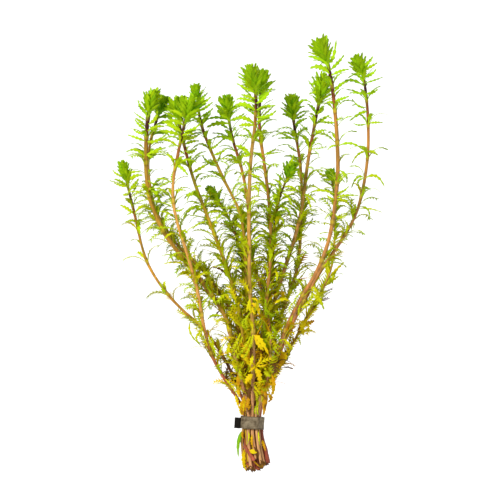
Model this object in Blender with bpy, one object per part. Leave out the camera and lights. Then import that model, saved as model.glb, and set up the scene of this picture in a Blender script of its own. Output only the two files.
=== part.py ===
# Tied bunch of red parrot feather, lying on a table, without a pot.
# Metres, +Z up. The origin is on the flat underside of the lead strip, at its middle.
# +Y runs from the cut ends to the growing tips, and +X is the right side seen from above.

import math
import random

import bmesh
import bpy
import numpy as np
from mathutils import Matrix

MM = 0.001

# Lead strip, in millimetres.
STRIP_WIDTH = 7.5
STRIP_THICKNESS = 0.8
STRIP_CLEARANCE = 0.3
STRIP_SLANT_DEG = -3.8
STRIP_ARC_STEPS = 20
STRIP_START_DEG = 174.0
STRIP_ARC_DEG = 336.0

# The strip's loose end comes out from under the winding, a little narrower and lower.
TAB_LENGTH = 3.6
TAB_CLEARANCE = 0.5
TAB_WIDTH = 6.5
TAB_SHIFT = -0.7
TAB_STEP = 0.25

# A ball that stands for the strip when leaves are kept clear of it: height and radius.
STRIP_BALL_Z = 5.5
STRIP_BALL_RADIUS = 9.0

# Stems side by side in the strip, in millimetres.
PITCH = 2.5
ROW_RISE = PITCH * math.sin(math.radians(60))
TIED_RADIUS = 1.1
TIED_FROM_Y = -5.0
TIED_TO_Y = 7.0
FREE_FROM_Y = 40.0
BOTTOM_ROW_Z = STRIP_THICKNESS + STRIP_CLEARANCE + TIED_RADIUS
CUT_SPREAD = 1.25
CUT_LEAN = 2.2
CUT_SINK = 1.2
LEAN_FROM_Y = -12.0
LEAN_SHARE = 0.3

# How high the stems lie at these distances from the strip, between the strip and the tip.
LOW_Y = 40.0
MIDDLE_Y = 90.0

# Stem tubes, in millimetres. They get thinner over the last part of their length.
SIDES = 5
SAMPLE_STEP = 3.0
NODE_SWELLING = 1.18
COLLAR = 1.2
BEND_ALLOWED = 0.4
THINNER_FROM = 0.6
TIP_THICKNESS = 0.8
DIRECTION_REACH = 1.5

# Stems that would touch are pushed apart, mostly up and down, in small rounds.
STEM_GAP = 1.2
PUSH_ROUNDS = 120
PUSH_SHARE = 0.3
PUSH_LIMIT = 0.6
PUSH_SMOOTHINGS = 3
PUSH_FREE_OVER = 10.0
PUSH_WAY = np.array((0.35, 0.35, 1.0))

# Whorls of leaves stand close together under the crown and further apart on the old stem.
LOWEST_WHORL_Y = 18.0
WHORL_STEP_YOUNG = 5.0
WHORL_STEP_OLD = 12.0
YOUNG_LENGTH = 55.0
YOUNG_LEAVES = 4
YOUNG_LEAVES_LENGTH = 33.0
OLD_LEAVES = 3

# Leaves in millimetres and degrees, at the distances from the crown in LEAF_STATIONS.
LEAF_STATIONS = (0.0, 15.0, 50.0, 120.0)
LEAF_LENGTHS = (9.0, 13.0, 16.0, 15.0)
LEAF_WIDTHS = (2.6, 2.4, 2.2, 2.2)
LEAF_RISES = (52.0, 50.0, 48.0, 56.0)
LEAF_SPREADS = (28.0, 8.0, -10.0, 10.0)
LEAF_THICKNESS = 0.6
LEAF_DROOP = 0.08
MIDDLE_DROOP_SHARE = 0.25
LEAF_GAP = 0.35
TABLE_GAP = 0.1

# How much one whorl differs from the next: length factors, and degrees either way.
LENGTH_RANGE = (0.85, 1.1)
RISE_SWING = 8.0
SPREAD_SWING = 12.0

# Length factor and extra rise of a leaf, tried in turn until it is clear of other shoots.
LEAF_TRIES = ((1.0, 0.0), (0.85, 12.0), (0.85, -12.0), (0.6, 15.0))

# Balls along leaves and stems, for keeping leaves clear.
LEAF_BALLS = 5
TIP_BALL_RADIUS = 0.1
STEM_BALL_STEP = 1.5

# Crown at the tip of each shoot, at size 1: an outer whorl, an inner one and a bud.
CROWN_HEIGHT = 7.0
CROWN_LEAF_LENGTH = 9.5
CROWN_LEAF_WIDTH = 3.6
OUTER_WHORL = (0.0, 1.6)
OUTER_ANGLES = (35.0, 20.0)
INNER_WHORL = (3.0, 4.6)
INNER_ANGLES = (58.0, 62.0)
INNER_LENGTH = 0.95
BUD_FROM = 5.6
BUD_SWELLING = 1.3

# Each shoot: place in the strip (steps of the pitch from the middle, row from the bottom),
# stem radius, crown size against the common one, heights at LOW_Y, MIDDLE_Y and the tip,
# distance of the cut end below the strip, and the route seen from above as (x, y).
SHOOTS = {
    "shoot_01": ((-1.5, 0), 0.9, 0.85, (4.0, 6.0, 10.0), 26.0,
                 [(-16, 37), (-29, 55.5), (-49, 75), (-63.5, 97), (-71, 126), (-77.5, 153)]),
    "shoot_02": ((-1.0, 3), 1.4, 1.1, (14.0, 14.5, 28.0), 28.0,
                 [(-10, 38), (-15.5, 62), (-26.5, 80), (-41, 98.5), (-54, 116.5), (-62.5, 140),
                  (-63.5, 170), (-61, 196)]),
    "shoot_03": ((-1.5, 2), 0.9, 0.75, (9.0, 8.5, 17.0), 24.0,
                 [(-7, 44), (-9.5, 60), (-17, 74), (-31, 93), (-45, 107), (-58, 128), (-62.5, 152),
                  (-61, 170), (-53.5, 194)]),
    "shoot_04": ((-2.0, 1), 1.0, 0.9, (13.0, 21.0, 38.0), 27.0,
                 [(-14, 22.5), (-23, 37.5), (-28.5, 55), (-31.5, 71.5), (-35, 88), (-41, 108),
                  (-46, 125), (-47.5, 142), (-44.5, 161), (-38, 190)]),
    "shoot_05": ((-0.5, 2), 1.0, 0.9, (17.0, 19.0, 24.0), 22.0,
                 [(-4.5, 32), (-5.5, 50), (-8, 67), (-14, 89.5), (-23.5, 115.5), (-34.5, 144),
                  (-42, 171.5), (-46, 191)]),
    "shoot_06": ((-1.0, 1), 0.95, 0.8, (10.0, 16.0, 20.0), 28.5,
                 [(-2.5, 32), (-3, 56), (-4, 92), (-5, 112), (-8, 128), (-16.5, 145), (-25, 164),
                  (-31, 181), (-34, 201)]),
    "shoot_07": ((-0.5, 0), 0.65, 0.6, (4.5, 6.0, 10.0), 28.0,
                 [(-1.5, 44), (-2, 68), (-3.5, 89), (-8, 107), (-16, 127), (-25.5, 140.5)]),
    "shoot_08": ((1.0, 3), 0.95, 0.95, (22.0, 10.5, 12.0), 25.0,
                 [(9.5, 28.5), (11, 49), (7.5, 72.5), (1.5, 93.5), (-1.5, 110), (-2.5, 130),
                  (-6, 151), (-12, 171.5), (-16, 194)]),
    "shoot_09": ((0.0, 3), 1.1, 1.1, (26.0, 31.0, 44.0), 22.0,
                 [(0.5, 34), (0.5, 58), (-1.5, 80), (-2, 110), (-2, 132), (-1, 158), (1.5, 178),
                  (2, 197), (-1, 209)]),
    "shoot_10": ((0.5, 2), 1.0, 1.0, (17.0, 20.0, 25.0), 27.0,
                 [(4.5, 32), (6, 50), (7.5, 67), (9.5, 85), (11, 105), (10.5, 126), (7.5, 153.5),
                  (4.5, 174), (4.5, 192), (7, 207)]),
    "shoot_11": ((0.5, 0), 0.95, 1.0, (5.0, 6.0, 13.0), 29.0,
                 [(8, 29), (12, 47), (18, 67), (26, 89), (28.5, 104), (29, 119), (30, 134),
                  (28.5, 158), (25, 180), (24, 194)]),
    "shoot_12": ((1.0, 1), 1.05, 1.0, (9.0, 12.0, 18.0), 28.0,
                 [(6, 38), (9.5, 59), (13.5, 74.5), (18, 89), (25, 110), (30, 131), (33, 155),
                  (37.5, 180), (42, 203)]),
    "shoot_13": ((0.0, 1), 0.7, 0.8, (13.0, 14.0, 27.0), 27.5,
                 [(7, 41), (9.5, 62), (11.5, 80), (12.5, 98), (13, 113), (16, 134), (23.5, 154)]),
    "shoot_14": ((1.5, 2), 1.2, 1.1, (14.0, 23.0, 34.0), 25.0,
                 [(12, 33.5), (20, 56), (30, 76.5), (40, 94), (47, 115.5), (50.5, 142),
                  (51, 160), (49.5, 185), (46, 211), (40.5, 226)]),
    "shoot_15": ((2.0, 1), 0.95, 0.95, (9.0, 14.0, 21.0), 24.0,
                 [(14, 35), (23, 57.5), (31.5, 74), (42, 93), (53, 109), (63, 128), (68.5, 154),
                  (69.5, 178), (67.5, 202), (63.5, 217)]),
    "shoot_16": ((1.5, 0), 0.6, 0.6, (4.5, 5.5, 8.0), 26.0,
                 [(16, 33.5), (24, 47.5), (32.5, 62), (40, 76), (47, 91), (49.5, 110), (49.5, 134),
                  (47, 151)]),
}

SHOOT_COLOUR = (0.22, 0.36, 0.05, 1.0)
STRIP_COLOUR = (0.21, 0.19, 0.18, 1.0)


def clear_scene():
    for old in list(bpy.data.objects):
        bpy.data.objects.remove(old, do_unlink=True)


def make_material(name, colour, roughness, metallic):
    material = bpy.data.materials.new(name)
    material.use_nodes = True
    shader = material.node_tree.nodes["Principled BSDF"]
    shader.inputs["Base Color"].default_value = colour
    shader.inputs["Roughness"].default_value = roughness
    shader.inputs["Metallic"].default_value = metallic
    return material


def unit(vector):
    return vector / np.linalg.norm(vector)


def strip_place(place):
    column, row = place
    return column * PITCH, BOTTOM_ROW_Z + row * ROW_RISE


def smooth_line(points, step):
    """Catmull-Rom curve through the points, sampled at about the given step."""
    points = np.array(points, float)
    ahead = 2 * points[-1] - points[-2]
    behind = 2 * points[0] - points[1]
    padded = np.vstack([behind, points, ahead])
    line = []
    for index in range(1, len(padded) - 2):
        p0, p1, p2, p3 = padded[index - 1:index + 3]
        pieces = max(1, round(float(np.linalg.norm(p2 - p1)) / step))
        for piece in range(pieces):
            t = piece / pieces
            line.append(0.5 * (2 * p1 + (p2 - p0) * t + (2 * p0 - 5 * p1 + 4 * p2 - p3) * t * t
                               + (3 * p1 - p0 - 3 * p2 + p3) * t ** 3))
    line.append(padded[-2])
    return np.array(line)


def first_route(place, radius, heights, cut_depth, route):
    """The stem as laid by hand: cut end, straight through the strip, then out to its tip."""
    x_tied, z_tied = strip_place(place)
    x_cut = x_tied * CUT_SPREAD + CUT_LEAN
    z_cut = max(radius, z_tied - CUT_SINK)
    tip_y = route[-1][1]
    stations = [TIED_TO_Y, LOW_Y, MIDDLE_Y, tip_y]
    levels = [z_tied, *heights]
    x_lean = x_tied + LEAN_SHARE * CUT_LEAN
    line = [(x_cut, -cut_depth, z_cut), (x_lean, LEAN_FROM_Y, z_tied),
            (x_tied, TIED_FROM_Y, z_tied), (x_tied, TIED_TO_Y, z_tied)]
    for x, y in route:
        line.append((x, y, float(np.interp(y, stations, levels))))
    return smooth_line(line, SAMPLE_STEP)


def stem_radius(radius, y):
    """Thin in the strip, and full from a little above it."""
    return np.interp(y, [TIED_TO_Y, FREE_FROM_Y], [min(radius, TIED_RADIUS), radius])


def push_apart(lines, radii):
    """Lift or lower stems that would touch, a little at a time, and keep them above the table."""
    names = list(lines)
    for _ in range(PUSH_ROUNDS):
        moves = {name: np.zeros_like(lines[name]) for name in names}
        room = {}
        for name in names:
            y = lines[name][:, 1]
            gap = np.interp(y, [TIED_TO_Y, FREE_FROM_Y], [0.0, 0.5 * STEM_GAP])
            room[name] = stem_radius(radii[name], y) + gap
        for index, one in enumerate(names):
            for other in names[index + 1:]:
                apart = lines[one][:, None, :] - lines[other][None, :, :]
                distance = np.linalg.norm(apart, axis=2)
                need = room[one][:, None] + room[other][None, :]
                for i, j in np.argwhere(distance < need):
                    way = unit(apart[i, j] * PUSH_WAY + np.array((0.0, 0.0, 0.001)))
                    push = PUSH_SHARE * (need[i, j] - distance[i, j]) * way
                    moves[one][i] += push
                    moves[other][j] -= push
        for name in names:
            line = lines[name]
            move = moves[name]
            for _ in range(PUSH_SMOOTHINGS):
                move[1:-1] = (move[:-2] + 2 * move[1:-1] + move[2:]) / 4
            free = np.clip((line[:, 1] - TIED_TO_Y) / PUSH_FREE_OVER, 0.0, 1.0)
            line += np.clip(move, -PUSH_LIMIT, PUSH_LIMIT) * free[:, None]
            line[:, 2] = np.maximum(line[:, 2], radii[name])
    return lines


def lay_stems():
    lines = {}
    radii = {}
    for name, (place, radius, _, heights, cut_depth, route) in SHOOTS.items():
        lines[name] = first_route(place, radius, heights, cut_depth, route)
        radii[name] = radius * NODE_SWELLING
    return push_apart(lines, radii)


class Line:
    """A stem's centre line that is asked for places by the length along it."""

    def __init__(self, points):
        self.points = points
        steps = np.linalg.norm(np.diff(points, axis=0), axis=1)
        self.along = np.concatenate([[0.0], np.cumsum(steps)])
        self.length = float(self.along[-1])

    def at(self, distance):
        return np.array([np.interp(distance, self.along, self.points[:, k]) for k in range(3)])

    def frame(self, distance):
        """Direction to the tip, sideways and upwards at this place."""
        ahead = self.at(distance + DIRECTION_REACH)
        forward = unit(ahead - self.at(distance - DIRECTION_REACH))
        side = unit(np.cross((0.0, 0.0, 1.0), forward))
        return forward, side, np.cross(forward, side)

    def length_at_y(self, y):
        return float(np.interp(y, self.points[:, 1], self.along))


def whorl_places(line, crown_size):
    """Lengths along the stem of its leaf whorls, from the crown down to the strip."""
    top = line.length - CROWN_HEIGHT * crown_size
    lowest = line.length_at_y(LOWEST_WHORL_Y)
    places = []
    place = top - WHORL_STEP_YOUNG
    while place > lowest:
        places.append(place)
        place -= float(np.interp(top - place, [0.0, YOUNG_LENGTH],
                                 [WHORL_STEP_YOUNG, WHORL_STEP_OLD]))
    return places


def leaf_path(base, outward, forward, length, rise_deg, spread_deg, droop):
    """Base, middle and tip of a leaf that rises along the stem, spreads out and hangs."""
    rise = math.radians(rise_deg)
    spread = math.radians(spread_deg)
    first = outward * math.cos(rise) + forward * math.sin(rise)
    second = outward * math.cos(spread) + forward * math.sin(spread)
    middle = base + 0.5 * length * first
    tip = middle + 0.5 * length * second
    middle[2] -= MIDDLE_DROOP_SHARE * droop * length
    tip[2] -= droop * length
    return [base, middle, tip]


def above_table(path, width):
    base, middle, tip = path
    middle[2] = max(middle[2], 0.5 * width + TABLE_GAP)
    tip[2] = max(tip[2], 0.0)
    return path


class Room:
    """Balls along everything that is already laid, to keep a leaf clear of other shoots."""

    def __init__(self):
        self.owners = []
        self.centres = []
        self.radii = []
        self.arrays = None

    def add(self, owner, centres, radii):
        self.owners.extend([owner] * len(centres))
        self.centres.extend(centres)
        self.radii.extend(radii)
        self.arrays = None

    def is_free(self, owner, centres, radii):
        if self.arrays is None:
            self.arrays = (np.array(self.centres), np.array(self.radii), np.array(self.owners))
        held, held_radii, owners = self.arrays
        foreign = owners != owner
        held = held[foreign]
        need = held_radii[foreign][None, :] + np.array(radii)[:, None] + LEAF_GAP
        distance = np.linalg.norm(np.array(centres)[:, None, :] - held[None, :, :], axis=2)
        return bool(np.all(distance > need))


def leaf_balls(path, width):
    """Balls that cover a leaf: half the width in the middle, nothing at the tip."""
    base, middle, tip = path
    centres = []
    radii = []
    for step in range(1, LEAF_BALLS + 1):
        t = step / LEAF_BALLS
        centres.append(base + (middle - base) * t)
        radii.append(0.5 * width * (0.5 + 0.5 * t))
    for step in range(1, LEAF_BALLS + 1):
        t = step / LEAF_BALLS
        centres.append(middle + (tip - middle) * t)
        radii.append(0.5 * width * (1 - t) + TIP_BALL_RADIUS)
    return centres, radii


def stem_balls(line, radius):
    count = int(line.length / STEM_BALL_STEP)
    places = np.linspace(0.0, line.length, count)
    return [line.at(place) for place in places], [radius * NODE_SWELLING] * count


class Shoot:
    """One stem with its leaves and crown, grown as one closed mesh."""

    def __init__(self, name, line, radius, crown_size, rng):
        self.name = name
        self.line = line
        self.radius = radius
        self.crown_size = crown_size
        self.rng = rng
        self.mesh = bmesh.new()
        self.last_ring = None
        self.last_place = 0.0

    def radius_at(self, place):
        """The stem's radius between its whorls, thin in the strip and thinner to the tip."""
        full = float(stem_radius(self.radius, self.line.at(place)[1]))
        share = place / self.line.length
        return full * float(np.interp(share, [THINNER_FROM, 1.0], [1.0, TIP_THICKNESS]))

    def ring(self, place, radius, turn):
        centre = self.line.at(place)
        _, side, up = self.line.frame(place)
        corners = []
        for corner in range(SIDES):
            angle = turn + 2 * math.pi * corner / SIDES
            spot = centre + radius * (math.cos(angle) * side + math.sin(angle) * up)
            corners.append(self.mesh.verts.new(spot * MM))
        return corners

    def follow(self, place, turn):
        """Add rings up to this place wherever the stem bends away from a straight line."""
        start = self.last_place
        halfway = 0.5 * (start + place)
        straight = 0.5 * (self.line.at(start) + self.line.at(place))
        if np.linalg.norm(self.line.at(halfway) - straight) > BEND_ALLOWED:
            self.follow(halfway, turn)
            self.last_place = halfway
            self.extend(self.ring(halfway, self.radius_at(halfway), turn))
            self.follow(place, turn)

    def extend(self, ring):
        """Join the new ring to the last one and give back the side faces."""
        faces = []
        for corner in range(SIDES):
            after = (corner + 1) % SIDES
            faces.append(self.mesh.faces.new((self.last_ring[corner], self.last_ring[after],
                                              ring[after], ring[corner])))
        self.last_ring = ring
        return faces

    def grow_leaf(self, face, path, width, across):
        """Pull a side face out into a flat, keeled leaf that ends in a point."""
        base, middle, tip = path
        low_left, low_right, high_right, high_left = list(face.verts)
        self.mesh.faces.remove(face)
        forward = unit(tip - base)
        flat = unit(across - forward * float(np.dot(across, forward)))
        thick = np.cross(forward, flat)
        ring = []
        for wide, deep in ((-0.5 * width, 0.0), (0.5 * width, 0.0), (0.0, -LEAF_THICKNESS)):
            spot = middle + wide * flat + deep * thick
            ring.append(self.mesh.verts.new(spot * MM))
        left, right, keel = ring
        point = self.mesh.verts.new(tip * MM)
        for corners in ((low_left, low_right, keel), (low_left, keel, left),
                        (low_right, right, keel), (low_right, high_right, right),
                        (high_right, high_left, left, right), (high_left, low_left, left),
                        (left, keel, point), (keel, right, point), (right, left, point)):
            self.mesh.faces.new(corners)

    def whorl(self, place, turn, faces, count, room, length, width, rise, spread, droop):
        forward, side, up = self.line.frame(place)
        centre = self.line.at(place)
        radius = self.radius_at(place)
        order = list(range(SIDES))
        self.rng.shuffle(order)
        grown = 0
        for index in order:
            if grown == count:
                break
            angle = turn + 2 * math.pi * (index + 0.5) / SIDES
            outward = math.cos(angle) * side + math.sin(angle) * up
            across = np.cross(forward, outward)
            base = centre + radius * math.cos(math.pi / SIDES) * outward
            for share, lift in LEAF_TRIES:
                path = leaf_path(base, outward, forward, length * share, rise + lift,
                                 spread + lift, droop)
                path = above_table(path, width)
                centres, radii = leaf_balls(path, width)
                if room.is_free(self.name, centres, radii):
                    self.grow_leaf(faces[index], path, width, across)
                    room.add(self.name, centres, radii)
                    grown += 1
                    break

    def build(self, room):
        line = self.line
        places = [line.length_at_y(TIED_FROM_Y), line.length_at_y(TIED_TO_Y)]
        self.last_ring = self.ring(0.0, min(self.radius, TIED_RADIUS), 0.0)
        self.mesh.faces.new(list(reversed(self.last_ring)))
        for place in places:
            self.follow(place, 0.0)
            self.extend(self.ring(place, min(self.radius, TIED_RADIUS), 0.0))
            self.last_place = place
        half_turn = math.pi / SIDES
        whorls = whorl_places(line, self.crown_size)[::2]
        top = line.length - CROWN_HEIGHT * self.crown_size
        for number, place in reversed(list(enumerate(whorls))):
            turn = half_turn * number
            radius = self.radius_at(place) * NODE_SWELLING
            self.follow(place, turn)
            self.extend(self.ring(place - COLLAR / 2, radius, turn))
            faces = self.extend(self.ring(place + COLLAR / 2, radius, turn))
            self.last_place = place
            below = top - place
            length = np.interp(below, LEAF_STATIONS, LEAF_LENGTHS)
            length *= self.rng.uniform(*LENGTH_RANGE)
            width = np.interp(below, LEAF_STATIONS, LEAF_WIDTHS)
            rise = np.interp(below, LEAF_STATIONS, LEAF_RISES)
            rise += self.rng.uniform(-RISE_SWING, RISE_SWING)
            spread = np.interp(below, LEAF_STATIONS, LEAF_SPREADS)
            spread += self.rng.uniform(-SPREAD_SWING, SPREAD_SWING)
            leaves = YOUNG_LEAVES if below < YOUNG_LEAVES_LENGTH else OLD_LEAVES
            self.whorl(place, turn, faces, leaves, room, length, width, rise, spread, LEAF_DROOP)
        self.crown(room, half_turn)

    def crown(self, room, half_turn):
        """Two close whorls of broad leaves under a pointed bud."""
        size = self.crown_size
        start = self.line.length - CROWN_HEIGHT * size
        radius = self.radius_at(start) * NODE_SWELLING
        length = CROWN_LEAF_LENGTH * size
        width = CROWN_LEAF_WIDTH * size
        low, high = (start + size * level for level in OUTER_WHORL)
        self.follow(low, 0.0)
        self.extend(self.ring(low, radius, 0.0))
        faces = self.extend(self.ring(high, radius, 0.0))
        self.whorl(0.5 * (low + high), 0.0, faces, SIDES, room, length, width, *OUTER_ANGLES, 0.0)
        low, high = (start + size * level for level in INNER_WHORL)
        self.extend(self.ring(low, radius, half_turn))
        faces = self.extend(self.ring(high, radius, half_turn))
        self.whorl(0.5 * (low + high), half_turn, faces, SIDES, room, length * INNER_LENGTH,
                   width, *INNER_ANGLES, 0.0)
        top = self.line.at(self.line.length) * MM
        bud = self.ring(start + BUD_FROM * size, radius * BUD_SWELLING, half_turn)
        self.extend(bud)
        point = self.mesh.verts.new(top)
        for corner in range(SIDES):
            self.mesh.faces.new((bud[corner], bud[(corner + 1) % SIDES], point))

    def finish(self, material):
        bmesh.ops.triangulate(self.mesh, faces=self.mesh.faces)
        data = bpy.data.meshes.new(self.name)
        self.mesh.to_mesh(data)
        self.mesh.free()
        data.materials.append(material)
        body = bpy.data.objects.new(self.name, data)
        bpy.context.scene.collection.objects.link(body)
        return body


def strip_outline(offset):
    """Line round the tied stems at this distance from them, from the tab's root clockwise."""
    centres = [np.array(strip_place(row[0])) for row in SHOOTS.values()]
    points = []
    for step in range(STRIP_ARC_STEPS + 1):
        angle = math.radians(STRIP_START_DEG - STRIP_ARC_DEG * step / STRIP_ARC_STEPS)
        way = np.array((math.cos(angle), math.sin(angle)))
        farthest = max(centres, key=lambda centre: float(np.dot(centre, way)))
        points.append(farthest + way * (TIED_RADIUS + offset))
    return points


def make_strip(material):
    """A flat strip wound once round the stems, with its last end left out at the side."""
    inner = strip_outline(STRIP_CLEARANCE)
    outer = strip_outline(STRIP_CLEARANCE + STRIP_THICKNESS)
    root = outer[0][0]
    low = inner[0][1] + TAB_CLEARANCE
    sections = []
    for x in (root - TAB_LENGTH, root - TAB_STEP):
        sections.append(((x, low), (x, low + STRIP_THICKNESS), TAB_WIDTH, TAB_SHIFT))
    sections += [(near, far, STRIP_WIDTH, 0.0) for near, far in zip(inner, outer)]
    mesh = bmesh.new()
    rows = []
    for near, far, width, shift in sections:
        front = shift - 0.5 * width
        back = shift + 0.5 * width
        rows.append([mesh.verts.new((spot[0] * MM, y * MM, spot[1] * MM))
                     for spot, y in ((near, front), (far, front), (far, back), (near, back))])
    mesh.faces.new(rows[0])
    mesh.faces.new(list(reversed(rows[-1])))
    for one, other in zip(rows, rows[1:]):
        for corner in range(4):
            after = (corner + 1) % 4
            mesh.faces.new((one[corner], one[after], other[after], other[corner]))
    slant = Matrix.Rotation(math.radians(STRIP_SLANT_DEG), 4, "Z")
    bmesh.ops.transform(mesh, matrix=slant, verts=mesh.verts)
    bmesh.ops.recalc_face_normals(mesh, faces=mesh.faces)
    bmesh.ops.triangulate(mesh, faces=mesh.faces)
    data = bpy.data.meshes.new("lead_strip")
    mesh.to_mesh(data)
    mesh.free()
    data.materials.append(material)
    body = bpy.data.objects.new("lead_strip", data)
    bpy.context.scene.collection.objects.link(body)


def main():
    clear_scene()
    lines = {name: Line(points) for name, points in lay_stems().items()}
    room = Room()
    for name, line in lines.items():
        centres, radii = stem_balls(line, SHOOTS[name][1])
        room.add(name, centres, radii)
    room.add("lead_strip", [np.array((0.0, 0.0, STRIP_BALL_Z))], [STRIP_BALL_RADIUS])
    leaf = make_material("parrot_feather_green", SHOOT_COLOUR, 0.55, 0.0)
    for number, (name, line) in enumerate(lines.items()):
        _, radius, crown_size, _, _, _ = SHOOTS[name]
        shoot = Shoot(name, line, radius, crown_size, random.Random(40 + number))
        shoot.build(room)
        shoot.finish(leaf)
    make_strip(make_material("lead_grey", STRIP_COLOUR, 0.5, 0.6))


main()
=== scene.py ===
# The looks of a tied bunch of red parrot feather that lies on a table, seen from above.
# Lengths are in metres unless a name ends in _MM.

import math
import random
from collections import namedtuple

import bmesh
import bpy
import numpy as np
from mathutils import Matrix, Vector


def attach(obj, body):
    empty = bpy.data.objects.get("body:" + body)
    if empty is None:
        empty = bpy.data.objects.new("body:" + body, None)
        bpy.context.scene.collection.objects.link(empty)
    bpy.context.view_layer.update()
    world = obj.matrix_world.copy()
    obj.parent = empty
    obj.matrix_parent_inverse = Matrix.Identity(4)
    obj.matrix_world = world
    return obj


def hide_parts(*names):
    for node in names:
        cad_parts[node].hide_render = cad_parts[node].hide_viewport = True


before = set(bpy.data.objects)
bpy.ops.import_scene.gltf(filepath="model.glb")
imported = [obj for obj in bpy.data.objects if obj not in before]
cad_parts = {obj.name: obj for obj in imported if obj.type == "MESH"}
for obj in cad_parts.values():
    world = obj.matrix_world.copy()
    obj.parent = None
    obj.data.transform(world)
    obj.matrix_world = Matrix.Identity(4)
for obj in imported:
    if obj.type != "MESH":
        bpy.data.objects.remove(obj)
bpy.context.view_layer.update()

bl_info = {
    "name": "Parrot feather bunch",
    "version": (1, 0, 0),
    "blender": (4, 5, 0),
    "location": "View3D > Sidebar > Bunch",
    "description": "Stems, leaves, crowns and lead strip of a tied aquarium plant bunch",
    "category": "Add Mesh",
}

MM = 0.001
SHOOT_NAMES = sorted(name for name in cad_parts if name.startswith("shoot_"))

# The photograph's framing: one of its pixels is this long on the table.
PIXEL_MM = 0.6
PHOTO_PIXELS = 500
STRIP_PIXEL_X = 252.4
STRIP_PIXEL_Y = 423.5

# The camera's sensor is this wide.
SENSOR_MM = 36.0

# The light falls on this place, and the ground is centred on it.
BUNCH_MIDDLE = (0.0, 0.1, 0.0)

# Leaves lie at least this far above the table, and their middles and tips are bent up to these.
TABLE_GAP = 0.0003
LOWEST_MIDDLE = 1.2 * MM
LOWEST_TIP = 0.8 * MM

# Below this height above the strip are only the cut ends.
BELOW_STRIP_MM = -10.0

# Corners closer than this are one corner, and leaves closer than this are of one whorl.
SAME_PLACE = 1e-6
SAME_WHORL = 0.02 * MM

# A CAD stem has this many corners in each of its rings, and its direction is taken over a span.
RING_CORNERS = 5
DIRECTION_SPAN = 0.003


# Reading the CAD shoots back


def in_order(corners):
    """The corners of a set in the order of their numbers, which is the same in every run."""
    return sorted(corners, key=lambda corner: corner.index)


class Shoot:
    """Centre line, whorl places and leaves of one CAD shoot, read from its triangles."""

    def __init__(self, name):
        self.name = name
        mesh = bmesh.new()
        mesh.from_mesh(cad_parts[name].data)
        bmesh.ops.remove_doubles(mesh, verts=mesh.verts, dist=SAME_PLACE)
        mesh.verts.index_update()
        # A leaf's tip is where three faces meet, and its blade hangs on the tip's edges.
        tips = [v for v in mesh.verts
                if len(v.link_faces) == 3 and v.co.y > BELOW_STRIP_MM * MM]
        blades = {v: [e.other_vert(v) for e in v.link_edges] for v in tips}
        taken = set(tips) | {v for blade in blades.values() for v in blade}
        # The stem is followed ring by ring from its cut end.
        level = sorted(mesh.verts, key=lambda v: v.co.y)[:RING_CORNERS]
        place_of = {}
        centres = []
        radii = []
        while level:
            centre = sum((v.co for v in level), Vector()) / len(level)
            for v in level:
                place_of[v] = len(centres)
            centres.append(np.array(centre))
            radii.append(max((v.co - centre).length for v in level))
            near = in_order({e.other_vert(v) for v in level for e in v.link_edges})
            level = [v for v in near if v not in taken and v not in place_of]
        self.line = Line(centres)
        self.leaves = []
        for tip, blade in blades.items():
            pairs = [(a, b) for a in blade for b in blade if a.index < b.index]
            left, right = max(pairs, key=lambda pair: (pair[0].co - pair[1].co).length)
            feet = in_order({e.other_vert(v) for v in (left, right) for e in v.link_edges})
            feet = [v for v in feet if v in place_of]
            base = np.array(sum((v.co for v in feet), Vector()) / len(feet))
            place = float(np.mean([self.line.along[place_of[v]] for v in feet]))
            middle = 0.5 * (np.array(left.co) + np.array(right.co))
            across = np.array(right.co) - np.array(left.co)
            self.leaves.append((place, base, middle, np.array(tip.co), across))
        self.leaves.sort(key=lambda leaf: leaf[0])
        self.radii = radii
        # The uppermost two of the leaves' places are the crown's.
        places = sorted({round(leaf[0], 5) for leaf in self.leaves})
        self.whorls = places[:-2]
        self.crown_places = places[-2:]
        forward, _, _ = self.line.frame_at(places[-2])
        self.crown_height = max(float((tip - self.line.at(places[-2])) @ forward)
                                for _, _, _, tip, _ in self.leaves)
        mesh.free()

    def radius(self, place):
        """The stem's radius at this length along it."""
        return float(np.interp(place, self.line.along, self.radii))


class Line:
    """A smooth curve through points, asked for places by the length along it."""

    def __init__(self, points):
        self.points = np.array(points)
        steps = np.linalg.norm(np.diff(self.points, axis=0), axis=1)
        self.along = np.concatenate([[0.0], np.cumsum(steps)])
        self.length = float(self.along[-1])
        slopes = np.gradient(self.points, self.along, axis=0, edge_order=1)
        self.slopes = slopes / np.linalg.norm(slopes, axis=1)[:, None]

    def at(self, place):
        """The point at this length along the curve."""
        place = min(max(place, 0.0), self.length)
        index = int(np.searchsorted(self.along, place, side="right")) - 1
        index = min(index, len(self.along) - 2)
        span = self.along[index + 1] - self.along[index]
        t = (place - self.along[index]) / span
        p0, p1 = self.points[index], self.points[index + 1]
        m0, m1 = self.slopes[index] * span, self.slopes[index + 1] * span
        return ((2 * t ** 3 - 3 * t ** 2 + 1) * p0 + (t ** 3 - 2 * t ** 2 + t) * m0
                + (3 * t ** 2 - 2 * t ** 3) * p1 + (t ** 3 - t ** 2) * m1)

    def length_at_y(self, y):
        return float(np.interp(y, self.points[:, 1], self.along))

    def x_at_y(self, y):
        return float(np.interp(y, self.points[:, 1], self.points[:, 0]))

    def reaches(self, y):
        return self.points[0, 1] <= y <= self.points[-1, 1]

    def frame_at(self, place):
        """Directions to the tip, to the left and upwards."""
        low = max(0.0, place - 0.5 * DIRECTION_SPAN)
        forward = unit(self.at(min(self.length, low + DIRECTION_SPAN)) - self.at(low))
        side = unit(np.cross((0.0, 0.0, 1.0), forward))
        return forward, side, np.cross(forward, side)


def unit(vector):
    return vector / np.linalg.norm(vector)


SHOOTS = {name: Shoot(name) for name in SHOOT_NAMES}


# Model parts that are drawn once with Blender's own tools and then copied


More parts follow.
